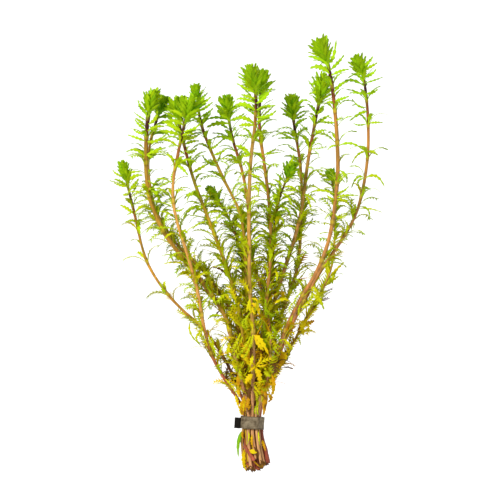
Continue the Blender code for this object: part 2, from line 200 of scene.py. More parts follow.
def start_clean():
    """Object mode with nothing selected, because an operator acts on all that is selected."""
    if bpy.context.mode != "OBJECT":
        bpy.ops.object.mode_set(mode="OBJECT")
    bpy.ops.object.select_all(action="DESELECT")


def begin_section(half_width, half_thickness):
    """A flat diamond that stands across the leaf, left in edit mode with its face selected."""
    start_clean()
    bpy.ops.mesh.primitive_circle_add(vertices=4, radius=half_width, fill_type="NGON",
                                      rotation=(math.pi / 2, 0.0, 0.0))
    bpy.ops.object.transform_apply(location=True, rotation=True, scale=True)
    bpy.ops.object.mode_set(mode="EDIT")
    bpy.ops.mesh.select_all(action="SELECT")
    bpy.ops.transform.resize(value=(1.0, 1.0, half_thickness / half_width))


def draw_out(sections):
    """Extrude the selected face through (place along Y, half width, half thickness) rows."""
    for (y, wide, thick), (next_y, next_wide, next_thick) in zip(sections, sections[1:]):
        bpy.ops.mesh.extrude_region_move(
            TRANSFORM_OT_translate={"value": (0.0, next_y - y, 0.0)})
        bpy.ops.transform.resize(value=(next_wide / wide, 1.0, next_thick / thick))
    bpy.ops.mesh.merge(type="CENTER")


def take_model():
    """End edit mode, read the mesh into arrays and remove the drawn object."""
    bpy.ops.mesh.select_all(action="SELECT")
    bpy.ops.mesh.normals_make_consistent(inside=False)
    bpy.ops.object.mode_set(mode="OBJECT")
    drawn = bpy.context.object
    corners = np.array([tuple(v.co) for v in drawn.data.vertices])
    faces = [tuple(face.vertices) for face in drawn.data.polygons]
    bpy.data.objects.remove(drawn, do_unlink=True)
    return corners, faces


def lance_width(y, fullest):
    """Half width of a leaf from its foot to its point, 1 at its fullest place."""
    power = math.log(0.5) / math.log(fullest)
    return max(0.12, math.sin(math.pi * min(0.97, 0.06 + 0.94 * y) ** power) ** 0.9)


def model_toothed_leaf(length, half_width, thickness, teeth, notch, fullest):
    """A lance-shaped leaf with teeth that point forwards."""
    rows = [(0.0, 0.22), (0.12, 0.34)]
    pitch = 0.78 / teeth
    for tooth in range(teeth):
        foot = 0.15 + tooth * pitch
        rows.append((foot + 0.12 * pitch, lance_width(foot, fullest) * (1.0 - notch)))
        rows.append((foot + 0.86 * pitch, lance_width(foot + 0.5 * pitch, fullest)))
    rows.append((0.95, 0.2))
    rows.append((1.0, 0.06))
    sections = [(y * length, wide * half_width, 0.5 * thickness * (1.0 - 0.55 * y))
                for y, wide in rows]
    begin_section(sections[0][1], sections[0][2])
    draw_out(sections)
    return take_model()


def model_feather_leaf(length, half_width, thickness, lobes):
    """A thin rib with flat pointed lobes on both sides, like a comb."""
    rows = [0.0, 0.25, 0.5, 0.75, 1.0]
    sections = [(y * length, 0.11 * length * (0.5 - 0.38 * y), thickness * (0.5 - 0.3 * y))
                for y in rows]
    begin_section(sections[0][1], sections[0][2])
    draw_out(sections)
    for lobe in range(lobes):
        foot = 0.2 + 0.6 * lobe / (lobes - 1)
        reach = half_width * (1.15 - 0.7 * abs(foot - 0.5))
        for side in (-1.0, 1.0):
            way = Vector((side * 0.74, 0.67, 0.0))
            middle = Vector((0.0, foot * length, 0.0)) + 0.5 * reach * way
            bpy.ops.mesh.primitive_cone_add(
                vertices=4, radius1=0.17 * reach, radius2=0.0, depth=reach,
                location=middle, rotation=way.to_track_quat("Z", "Y").to_euler())
            bpy.ops.transform.resize(value=(1.0, 1.0, thickness / (0.34 * reach)))
    return take_model()


# Joining many bent copies into one piece


class Gatherer:
    """Collects bent copies of model leaves and makes one mesh of them."""

    def __init__(self):
        self.corners = []
        self.faces = []
        self.values = {"age": [], "shade_and_tone": [], "along": [], "across": []}
        self.count = 0

    def add(self, model, path, across, width_scale, twist, age, shade_and_tone):
        """Bend a copy of the model along a curve through the path's three points."""
        corners, faces = model
        base, middle, tip = (np.array(point, float) for point in path)
        length = corners[:, 1].max()
        u = np.clip(corners[:, 1] / length, 0.0, 1.0)
        spot = (base[None, :] * (2 * u * u - 3 * u + 1)[:, None]
                + middle[None, :] * (4 * u - 4 * u * u)[:, None]
                + tip[None, :] * (2 * u * u - u)[:, None])
        along = (base[None, :] * (4 * u - 3)[:, None] + middle[None, :] * (4 - 8 * u)[:, None]
                 + tip[None, :] * (4 * u - 1)[:, None])
        along /= np.linalg.norm(along, axis=1)[:, None]
        flat = across[None, :] - along * (along @ across)[:, None]
        flat /= np.linalg.norm(flat, axis=1)[:, None]
        up = np.cross(flat, along)
        turn = twist * (0.25 + 0.75 * u)
        wide = flat * np.cos(turn)[:, None] + up * np.sin(turn)[:, None]
        high = np.cross(wide, along)
        placed = (spot + wide * (corners[:, 0] * width_scale)[:, None]
                  + high * corners[:, 2][:, None])
        lift = TABLE_GAP - placed[:, 2].min()
        if lift > 0:
            placed[:, 2] += lift * u ** 0.5
            placed[:, 2] = np.maximum(placed[:, 2], TABLE_GAP)
        self.corners.append(placed)
        self.faces.extend(tuple(index + self.count for index in face) for face in faces)
        self.count += len(placed)
        ones = np.ones(len(placed))
        self.values["age"].append(ones * age)
        self.values["shade_and_tone"].append(ones * shade_and_tone)
        self.values["along"].append(u)
        self.values["across"].append(corners[:, 0] / np.abs(corners[:, 0]).max())

    def finish(self, name, material, node):
        mesh = bpy.data.meshes.new(name)
        mesh.from_pydata(np.vstack(self.corners).tolist(), [], self.faces)
        for label, parts in self.values.items():
            attribute = mesh.attributes.new(label, "FLOAT", "POINT")
            attribute.data.foreach_set("value", np.concatenate(parts))
        mesh.shade_flat()
        piece = bpy.data.objects.new(name, mesh)
        bpy.context.scene.collection.objects.link(piece)
        adopt(piece, material, node)


def adopt(piece, material, node):
    """Give the piece its material, hang it under the root, and hide the CAD node that it stands
    for.
    """
    piece.data.materials.clear()
    piece.data.materials.append(material)
    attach(piece, "root")
    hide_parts(node)


# Where leaves grow

# Leaf length, rise and spread at these distances below the crown.
STATIONS_MM = (0.0, 15.0, 50.0, 120.0)
LENGTHS_MM = (10.5, 12.5, 14.5, 14.5)
RISES_DEG = (50.0, 44.0, 40.0, 50.0)
SPREADS_DEG = (30.0, 16.0, -8.0, 10.0)

# The share of feathered leaves at these distances below the crown.
FEATHER_STATIONS_MM = (12.0, 60.0, 120.0)
FEATHER_SHARES = (0.0, 0.4, 0.7)

# The leaves' age at these heights above the strip: 0 is young, and 1 is yellow.
AGE_Y_MM = (5.0, 55.0, 120.0, 200.0)
AGES = (0.92, 0.70, 0.44, 0.08)

# How untidily leaves stand at these heights above the strip.
UNTIDY_Y_MM = (60.0, 130.0)
UNTIDINESS = (1.0, 0.0)

# The share of a shoot's darkness, its painted shade, that its leaves have at these heights above
# the strip.
SHADE_Y_MM = (70.0, 150.0)
SHADE_SHARES = (0.08, 0.6)

# A leaf whose tip would leave the bunch's outline is tried again, raised by these.
LIFTS_DEG = (0.0, 22.0, 40.0)

# Where the sine of a leaf's turn round the stem is above the first number, the leaf is on top of
# it, and only this share of such leaves is kept.
ON_TOP = 0.6
KEPT_ON_TOP = 0.2

# Each shoot draws its chances from one of these seeds plus its number.
LEAF_SEED = 100
CROWN_SEED = 300

# How far leaves may stand out past the outermost stems at these heights above the strip.
OUTLINE_Y_MM = (0.0, 30.0, 55.0, 100.0, 135.0)
OUTLINE_MARGIN_MM = (1.0, 2.0, 5.0, 11.0, 40.0)

# How each shoot looks: its crown's half width, how far it is raised and how far its tip leans to
# the right, in MM, its darkness, which is painted shade on the leaves of shoots that lie inside
# and under the bunch, how pale and how green the stem is, how full its leaves are high up and low
# down, and the tone of the stem low down, from 0 for dark red to 1 for yellow-green.
Look = namedtuple("Look", "half_width raised lean darkness paleness greenness high_fullness "
                          "low_fullness tone")
LOOKS = {
    "shoot_01": Look(4.0, 1.5, 0.0, 0.05, 0.15, 0.35, 0.25, 0.15, 0.30),
    "shoot_02": Look(5.6, 0.2, 2.6, 0.10, 0.25, 0.55, 0.40, 0.60, 0.45),
    "shoot_03": Look(4.4, 0.0, 0.0, 0.55, 0.30, 0.70, 0.80, 1.30, 0.80),
    "shoot_04": Look(8.6, 2.2, 1.4, 0.08, 0.85, 0.05, 0.50, 0.60, 0.20),
    "shoot_05": Look(7.4, 2.0, 2.2, 0.18, 0.20, 0.90, 0.80, 1.20, 0.95),
    "shoot_06": Look(3.4, -0.3, 0.0, 0.40, 0.30, 0.75, 0.70, 1.40, 0.10),
    "shoot_07": Look(2.4, 0.0, 0.0, 0.70, 0.40, 0.50, 0.90, 1.60, 0.65),
    "shoot_08": Look(5.2, -0.5, 0.0, 0.30, 0.35, 0.20, 0.80, 1.00, 0.52),
    "shoot_09": Look(6.8, 0.9, 0.0, 0.08, 1.00, 0.30, 0.50, 0.35, 0.45),
    "shoot_10": Look(6.2, 1.8, -1.6, 0.10, 0.30, 0.20, 0.80, 1.20, 0.00),
    "shoot_11": Look(5.6, 0.0, 0.0, 0.24, 0.35, 0.80, 0.70, 0.85, 0.85),
    "shoot_12": Look(7.8, 3.6, 0.0, 0.12, 0.60, 0.10, 0.60, 0.70, 0.55),
    "shoot_13": Look(4.4, 0.0, 0.0, 0.45, 0.20, 0.70, 0.90, 1.50, 0.15),
    "shoot_14": Look(7.6, 0.8, 0.0, 0.05, 0.40, 0.05, 0.40, 0.35, 0.48),
    "shoot_15": Look(6.2, 0.6, 0.0, 0.12, 0.35, 0.05, 0.30, 0.25, 0.30),
    "shoot_16": Look(3.8, 0.0, 0.0, 0.50, 0.50, 0.50, 0.80, 0.70, 0.75),
}

# Rings of a crown: the leaves' feet and tips as shares of its height, how far out the tips are
# as a share of its half width, the leaves' width and their number.
CROWN_RINGS = (
    (-0.24, 0.28, 1.15, 0.85, 5),
    (-0.12, 0.55, 1.22, 0.95, 6),
    (0.00, 0.80, 1.12, 1.05, 6),
    (0.10, 0.96, 0.92, 1.10, 6),
    (0.20, 1.00, 0.62, 1.05, 5),
    (0.32, 1.01, 0.32, 0.95, 4),
    (0.40, 0.97, 0.08, 0.80, 3),
)

# A strap leaf has deep teeth, a feathered one has lobes like a comb, and a blade is nearly plain.
KINDS = {"s": "strap", "f": "feather", "b": "blade"}

# Single leaves that stand out on each shoot, in MM: the foot's height above the strip, a place
# on the way (x, y), the tip (x, y), the width, and the kind of leaf as in KINDS.
STANDING_LEAVES = {
    "shoot_01": (
        (148, -81.4, 149.7, -84.2, 152.5, 1.8, "s"), (146, -73.3, 150.5, -66.5, 150.9, 2.4, "s"),
        (145, -70.9, 148.5, -65.7, 148.9, 3.0, "s"), (142, -79.8, 143.1, -83.4, 144.5, 1.8, "s"),
        (140, -70.9, 143.3, -68.5, 147.3, 3.3, "s"), (138, -76.3, 137.4, -78.2, 137.2, 2.4, "s"),
        (135, -70.1, 138.4, -66.1, 137.6, 2.4, "f"), (126, -66.9, 129.6, -62.9, 129.6, 2.4, "f"),
        (128, -73.5, 126.4, -75.7, 125.2, 1.4, "s"), (122, -73.3, 121.7, -76.7, 121.2, 1.8, "s"),
        (121, -66.1, 122.4, -62.1, 125.2, 2.4, "f"),
    ),
    "shoot_02": (
        (185, -66.5, 189.1, -68.4, 194.0, 2.4, "s"), (181, -67.3, 183.8, -71.1, 186.7, 1.4, "s"),
        (176, -67.3, 178.6, -70.5, 182.5, 2.2, "s"), (174, -67.7, 174.2, -71.3, 176.4, 2.2, "s"),
        (169, -69.3, 171.2, -75.1, 173.2, 2.2, "s"), (160, -70.1, 164.0, -75.9, 162.4, 2.0, "s"),
        (179, -58.1, 182.6, -56.9, 188.1, 2.7, "s"), (175, -57.3, 177.8, -52.4, 177.8, 2.7, "s"),
        (169, -57.3, 169.4, -51.2, 173.6, 2.7, "s"), (161, -60.8, 159.9, -58.7, 159.0, 1.8, "s"),
        (161, -57.3, 163.8, -51.2, 165.4, 2.4, "s"), (161, -55.7, 162.9, -48.8, 161.6, 3.0, "f"),
        (146, -55.7, 143.4, -52.4, 148.5, 2.7, "f"), (146, -55.7, 142.5, -48.4, 145.7, 2.4, "f"),
        (141, -57.9, 138.4, -54.9, 131.9, 3.3, "s"), (134, -54.9, 132.7, -48.3, 130.6, 1.6, "s"),
        (140, -67.7, 139.2, -71.9, 135.2, 3.0, "f"), (134, -66.9, 133.6, -71.7, 130.2, 2.4, "f"),
        (128, -65.3, 128.0, -69.2, 121.4, 2.4, "f"),
    ),
    "shoot_03": (
        (186, -49.2, 189.1, -46.0, 186.7, 2.7, "s"), (183, -50.0, 184.2, -47.6, 180.2, 3.0, "s"),
        (179, -50.8, 181.0, -46.0, 177.8, 3.0, "s"), (174, -53.2, 174.6, -49.9, 172.4, 2.4, "s"),
        (169, -51.6, 170.2, -48.3, 167.4, 2.0, "s"),
    ),
    "shoot_04": (
        (182, -44.4, 185.9, -50.0, 187.5, 2.7, "s"), (178, -46.0, 181.0, -52.4, 180.2, 3.3, "s"),
        (174, -47.6, 177.8, -54.0, 180.9, 3.0, "s"), (172, -48.4, 174.2, -55.7, 175.2, 3.0, "s"),
        (181, -38.4, 183.0, -33.2, 182.6, 3.0, "s"), (175, -36.4, 175.4, -30.7, 179.8, 3.0, "s"),
        (172, -38.0, 173.8, -34.0, 173.0, 2.7, "s"), (166, -47.6, 166.6, -50.2, 164.8, 3.6, "f"),
        (165, -50.0, 169.4, -57.4, 169.9, 1.8, "s"), (158, -47.6, 158.5, -51.2, 161.1, 1.6, "s"),
        (155, -42.0, 152.9, -38.1, 148.2, 2.7, "s"), (145, -50.8, 144.5, -54.9, 142.1, 2.4, "f"),
        (139, -43.6, 140.0, -39.4, 139.6, 1.6, "s"), (128, -43.6, 127.6, -40.8, 129.4, 1.8, "s"),
        (122, -50.0, 122.4, -53.6, 120.0, 3.3, "f"), (122, -50.8, 126.4, -57.3, 127.2, 1.8, "s"),
    ),
    "shoot_05": (
        (167, -36.4, 169.0, -31.4, 169.4, 2.5, "s"), (163, -36.4, 162.9, -33.0, 165.4, 3.3, "s"),
        (170, -35.6, 171.4, -31.4, 173.8, 2.5, "s"), (158, -34.8, 159.3, -28.7, 164.0, 2.4, "f"),
        (155, -35.2, 156.9, -30.7, 161.7, 2.4, "f"), (150, -31.5, 152.9, -25.5, 156.3, 2.5, "s"),
        (138, -37.6, 137.6, -40.9, 134.6, 2.5, "s"), (142, -31.7, 142.4, -30.3, 142.3, 1.6, "s"),
        (130, -36.0, 129.2, -41.6, 123.0, 2.5, "s"), (130, -34.0, 127.2, -35.6, 124.0, 1.8, "s"),
        (130, -25.1, 132.8, -19.1, 132.8, 3.0, "f"), (126, -22.7, 127.2, -17.1, 126.4, 2.4, "f"),
        (121, -31.9, 120.0, -36.0, 116.3, 1.8, "s"), (122, -20.3, 124.0, -14.7, 121.6, 2.4, "f"),
    ),
    "shoot_06": (
        (194, -29.5, 195.9, -26.7, 198.7, 2.0, "s"), (191, -28.7, 192.7, -24.7, 196.3, 2.4, "s"),
        (187, -27.5, 189.9, -23.5, 193.1, 2.2, "s"), (184, -27.1, 185.9, -23.4, 189.5, 2.4, "s"),
        (195, -36.0, 197.1, -38.1, 199.1, 2.2, "s"), (165, -22.3, 166.2, -19.3, 169.4, 2.0, "s"),
        (161, -19.1, 162.5, -14.7, 165.6, 2.2, "s"), (158, -16.3, 158.9, -9.2, 157.9, 3.0, "f"),
        (158, -15.5, 156.1, -14.3, 152.1, 2.4, "f"), (154, -26.7, 156.9, -30.1, 161.1, 2.2, "s"),
        (137, -10.7, 141.7, -6.6, 145.3, 3.0, "f"), (136, -8.2, 137.6, -5.0, 142.5, 2.4, "f"),
        (132, -15.5, 129.6, -20.3, 129.6, 2.4, "f"),
    ),
    "shoot_07": (
        (130, -22.7, 132.0, -27.9, 130.0, 2.0, "s"), (134, -18.7, 134.4, -17.1, 134.4, 1.8, "s"),
        (128, -12.3, 129.6, -8.2, 128.8, 2.2, "s"), (127, -13.9, 122.4, -11.9, 118.4, 1.8, "s"),
    ),
    "shoot_08": (
        (186, -17.9, 189.1, -22.1, 191.1, 2.4, "s"), (184, -17.5, 184.6, -21.5, 188.4, 3.0, "s"),
        (182, -21.9, 183.8, -28.7, 181.4, 2.2, "s"), (180, -21.1, 180.2, -27.7, 177.4, 3.6, "s"),
        (186, -9.9, 189.9, -5.0, 190.7, 2.4, "s"), (182, -9.0, 183.4, -4.6, 186.5, 2.7, "s"),
        (174, -10.3, 177.8, -10.7, 174.6, 3.6, "f"), (169, -17.9, 172.2, -24.5, 170.4, 2.0, "s"),
        (168, -15.5, 171.4, -20.3, 167.8, 2.2, "s"), (172, -5.8, 173.0, 1.6, 170.4, 3.0, "f"),
        (167, -5.0, 165.0, -1.8, 161.7, 3.3, "s"), (156, -10.7, 156.9, -13.9, 156.9, 1.8, "s"),
    ),
    "shoot_09": (
        (197, -4.2, 200.3, -9.7, 203.2, 2.4, "s"), (194, -3.4, 195.5, -6.8, 196.5, 2.7, "s"),
        (191, -5.0, 193.9, -9.7, 193.5, 2.5, "s"), (187, -5.0, 190.7, -10.8, 189.9, 3.6, "s"),
        (191, 7.0, 194.7, 12.0, 201.0, 3.1, "s"), (194, 7.0, 196.3, 9.4, 200.3, 2.4, "s"),
        (187, 7.8, 189.1, 14.1, 189.9, 2.6, "s"), (183, 9.4, 183.8, 14.4, 187.5, 2.6, "s"),
        (179, -5.0, 182.6, -11.1, 181.8, 3.3, "s"), (178, -4.2, 178.6, -8.2, 177.8, 3.0, "s"),
        (180, 6.2, 181.8, 11.0, 182.6, 2.2, "s"), (161, -4.2, 162.9, -8.2, 166.6, 2.4, "s"),
        (161, -3.8, 160.1, -5.8, 160.0, 2.2, "s"), (151, -5.8, 149.7, -9.9, 143.3, 3.0, "f"),
        (150, 2.2, 148.1, 6.2, 147.3, 2.0, "s"), (143, -6.6, 142.5, -9.9, 136.8, 3.0, "f"),
        (142, 3.0, 140.9, 3.0, 135.2, 2.0, "s"),
    ),
    "shoot_10": (
        (161, 11.0, 162.9, 14.4, 165.1, 1.8, "s"), (161, 3.8, 161.7, 1.0, 162.1, 3.0, "f"),
        (161, 12.6, 162.1, 17.6, 162.7, 1.3, "s"), (138, 4.6, 144.1, -1.0, 142.9, 2.0, "s"),
        (140, 3.8, 146.5, -4.6, 148.5, 1.7, "s"), (134, 12.6, 136.8, 15.9, 137.6, 3.0, "f"),
        (144, 11.8, 143.3, 15.1, 140.9, 1.9, "s"), (130, 6.2, 131.2, 2.2, 129.6, 2.4, "f"),
    ),
    "shoot_11": (
        (184, 21.1, 186.7, 16.5, 189.9, 2.4, "s"), (187, 30.0, 193.9, 36.0, 191.6, 2.0, "s"),
        (183, 29.1, 184.2, 32.8, 187.5, 2.0, "s"), (179, 29.1, 181.8, 33.2, 183.4, 2.6, "s"),
        (183, 21.9, 184.6, 17.5, 185.9, 2.2, "s"), (172, 21.9, 177.8, 13.1, 175.4, 3.1, "f"),
        (172, 18.7, 174.6, 9.5, 171.0, 2.4, "f"), (171, 20.3, 171.5, 14.8, 171.2, 1.8, "s"),
        (173, 30.0, 176.2, 34.1, 177.2, 4.2, "f"), (165, 29.1, 167.8, 30.9, 169.4, 3.6, "f"),
        (155, 26.7, 156.1, 25.1, 157.3, 1.8, "s"),
    ),
    "shoot_12": (
        (202, 38.0, 203.5, 33.6, 203.9, 3.0, "s"), (199, 38.0, 198.7, 33.8, 197.9, 2.8, "s"),
        (196, 38.0, 194.7, 38.8, 192.3, 1.8, "s"), (181, 35.6, 182.6, 34.1, 184.9, 1.9, "s"),
        (165, 39.6, 165.0, 46.0, 166.6, 2.4, "f"), (165, 40.0, 168.2, 42.0, 164.6, 2.0, "f"),
        (165, 39.6, 161.7, 38.0, 159.2, 1.8, "f"), (153, 35.6, 153.7, 36.8, 150.5, 3.0, "f"),
        (138, 34.8, 136.0, 38.4, 132.7, 1.9, "s"), (138, 34.0, 132.8, 35.6, 126.8, 1.8, "s"),
        (130, 26.7, 129.6, 25.9, 126.4, 2.4, "f"),
    ),
    "shoot_13": (
        (147, 23.1, 155.3, 24.7, 161.7, 1.8, "s"), (144, 16.3, 148.1, 13.7, 150.1, 1.8, "s"),
        (142, 15.1, 145.3, 12.4, 146.1, 1.8, "s"), (142, 23.5, 141.7, 27.1, 138.4, 1.9, "s"),
        (138, 21.1, 136.0, 23.9, 130.2, 2.2, "s"), (130, 20.3, 128.8, 23.5, 122.2, 2.5, "s"),
        (137, 13.9, 136.0, 10.7, 132.4, 2.0, "s"), (126, 17.9, 122.4, 19.5, 116.7, 1.8, "s"),
    ),
    "shoot_14": (
        (216, 48.0, 218.8, 50.0, 230.0, 3.0, "s"), (215, 39.6, 218.0, 32.8, 219.6, 3.0, "s"),
        (211, 50.8, 215.6, 54.9, 220.8, 2.6, "s"), (208, 52.5, 210.8, 57.9, 212.0, 2.4, "s"),
        (209, 40.4, 213.2, 34.0, 212.4, 4.2, "s"), (211, 43.6, 215.6, 40.0, 214.4, 2.4, "s"),
        (193, 53.3, 194.3, 58.1, 196.1, 2.4, "s"), (197, 52.5, 202.7, 57.3, 204.3, 2.6, "s"),
        (191, 46.0, 192.3, 42.4, 190.7, 2.4, "s"), (181, 52.5, 182.6, 54.5, 182.2, 4.2, "f"),
        (180, 45.2, 180.2, 40.0, 180.4, 2.0, "s"), (166, 58.9, 167.8, 66.3, 163.5, 2.0, "s"),
        (166, 47.6, 166.2, 44.6, 163.5, 1.8, "s"), (152, 55.7, 148.9, 56.3, 143.7, 2.0, "s"),
        (138, 54.1, 139.2, 57.9, 142.5, 1.8, "s"), (135, 54.9, 136.8, 58.5, 134.0, 4.2, "f"),
        (136, 57.3, 136.8, 63.9, 136.7, 1.7, "s"), (134, 54.9, 133.6, 57.7, 130.8, 2.6, "s"),
        (137, 42.0, 139.6, 34.6, 138.3, 1.7, "s"), (134, 46.4, 135.2, 44.3, 137.0, 1.9, "s"),
        (126, 45.2, 124.8, 42.8, 121.6, 2.6, "f"), (126, 53.3, 123.2, 57.3, 126.4, 3.0, "f"),
    ),
    "shoot_15": (
        (214, 69.3, 216.4, 72.2, 220.4, 2.8, "s"), (211, 70.9, 214.0, 75.1, 216.4, 2.5, "s"),
        (208, 70.9, 209.2, 74.3, 212.8, 2.6, "s"), (204, 73.3, 205.9, 78.6, 207.9, 1.4, "s"),
        (203, 63.7, 208.4, 58.5, 209.6, 2.4, "s"), (207, 63.7, 210.0, 56.5, 206.7, 2.0, "s"),
        (202, 58.9, 205.9, 52.5, 202.7, 2.4, "s"), (198, 71.7, 198.3, 75.4, 200.7, 2.6, "s"),
        (197, 62.9, 198.3, 57.7, 198.1, 2.0, "s"), (190, 63.7, 190.3, 59.3, 195.5, 1.6, "s"),
        (187, 64.5, 185.9, 57.9, 181.2, 2.6, "s"), (180, 74.1, 180.6, 78.6, 180.4, 1.8, "s"),
        (180, 63.7, 179.0, 60.5, 180.4, 1.4, "s"), (163, 72.1, 162.9, 75.4, 160.8, 2.8, "s"),
        (163, 63.7, 161.7, 59.3, 155.2, 1.8, "s"), (147, 62.9, 147.7, 59.3, 140.7, 2.0, "s"),
        (147, 63.7, 145.7, 63.7, 141.7, 1.8, "s"), (147, 74.1, 148.5, 79.4, 141.8, 2.4, "s"),
        (130, 69.3, 128.4, 70.1, 121.2, 1.6, "s"), (129, 70.9, 128.8, 78.2, 126.4, 1.2, "s"),
        (130, 59.7, 128.8, 54.9, 124.4, 3.0, "f"), (128, 58.9, 125.6, 54.1, 126.4, 2.0, "f"),
    ),
    "shoot_16": (
        (151, 42.8, 148.9, 38.0, 153.3, 2.4, "s"), (146, 44.4, 146.5, 42.0, 146.9, 2.4, "s"),
        (147, 52.5, 147.3, 55.8, 144.5, 2.0, "s"), (142, 50.8, 143.3, 54.9, 147.3, 2.0, "s"),
        (141, 45.2, 141.7, 42.8, 140.4, 2.2, "f"),
    ),
}
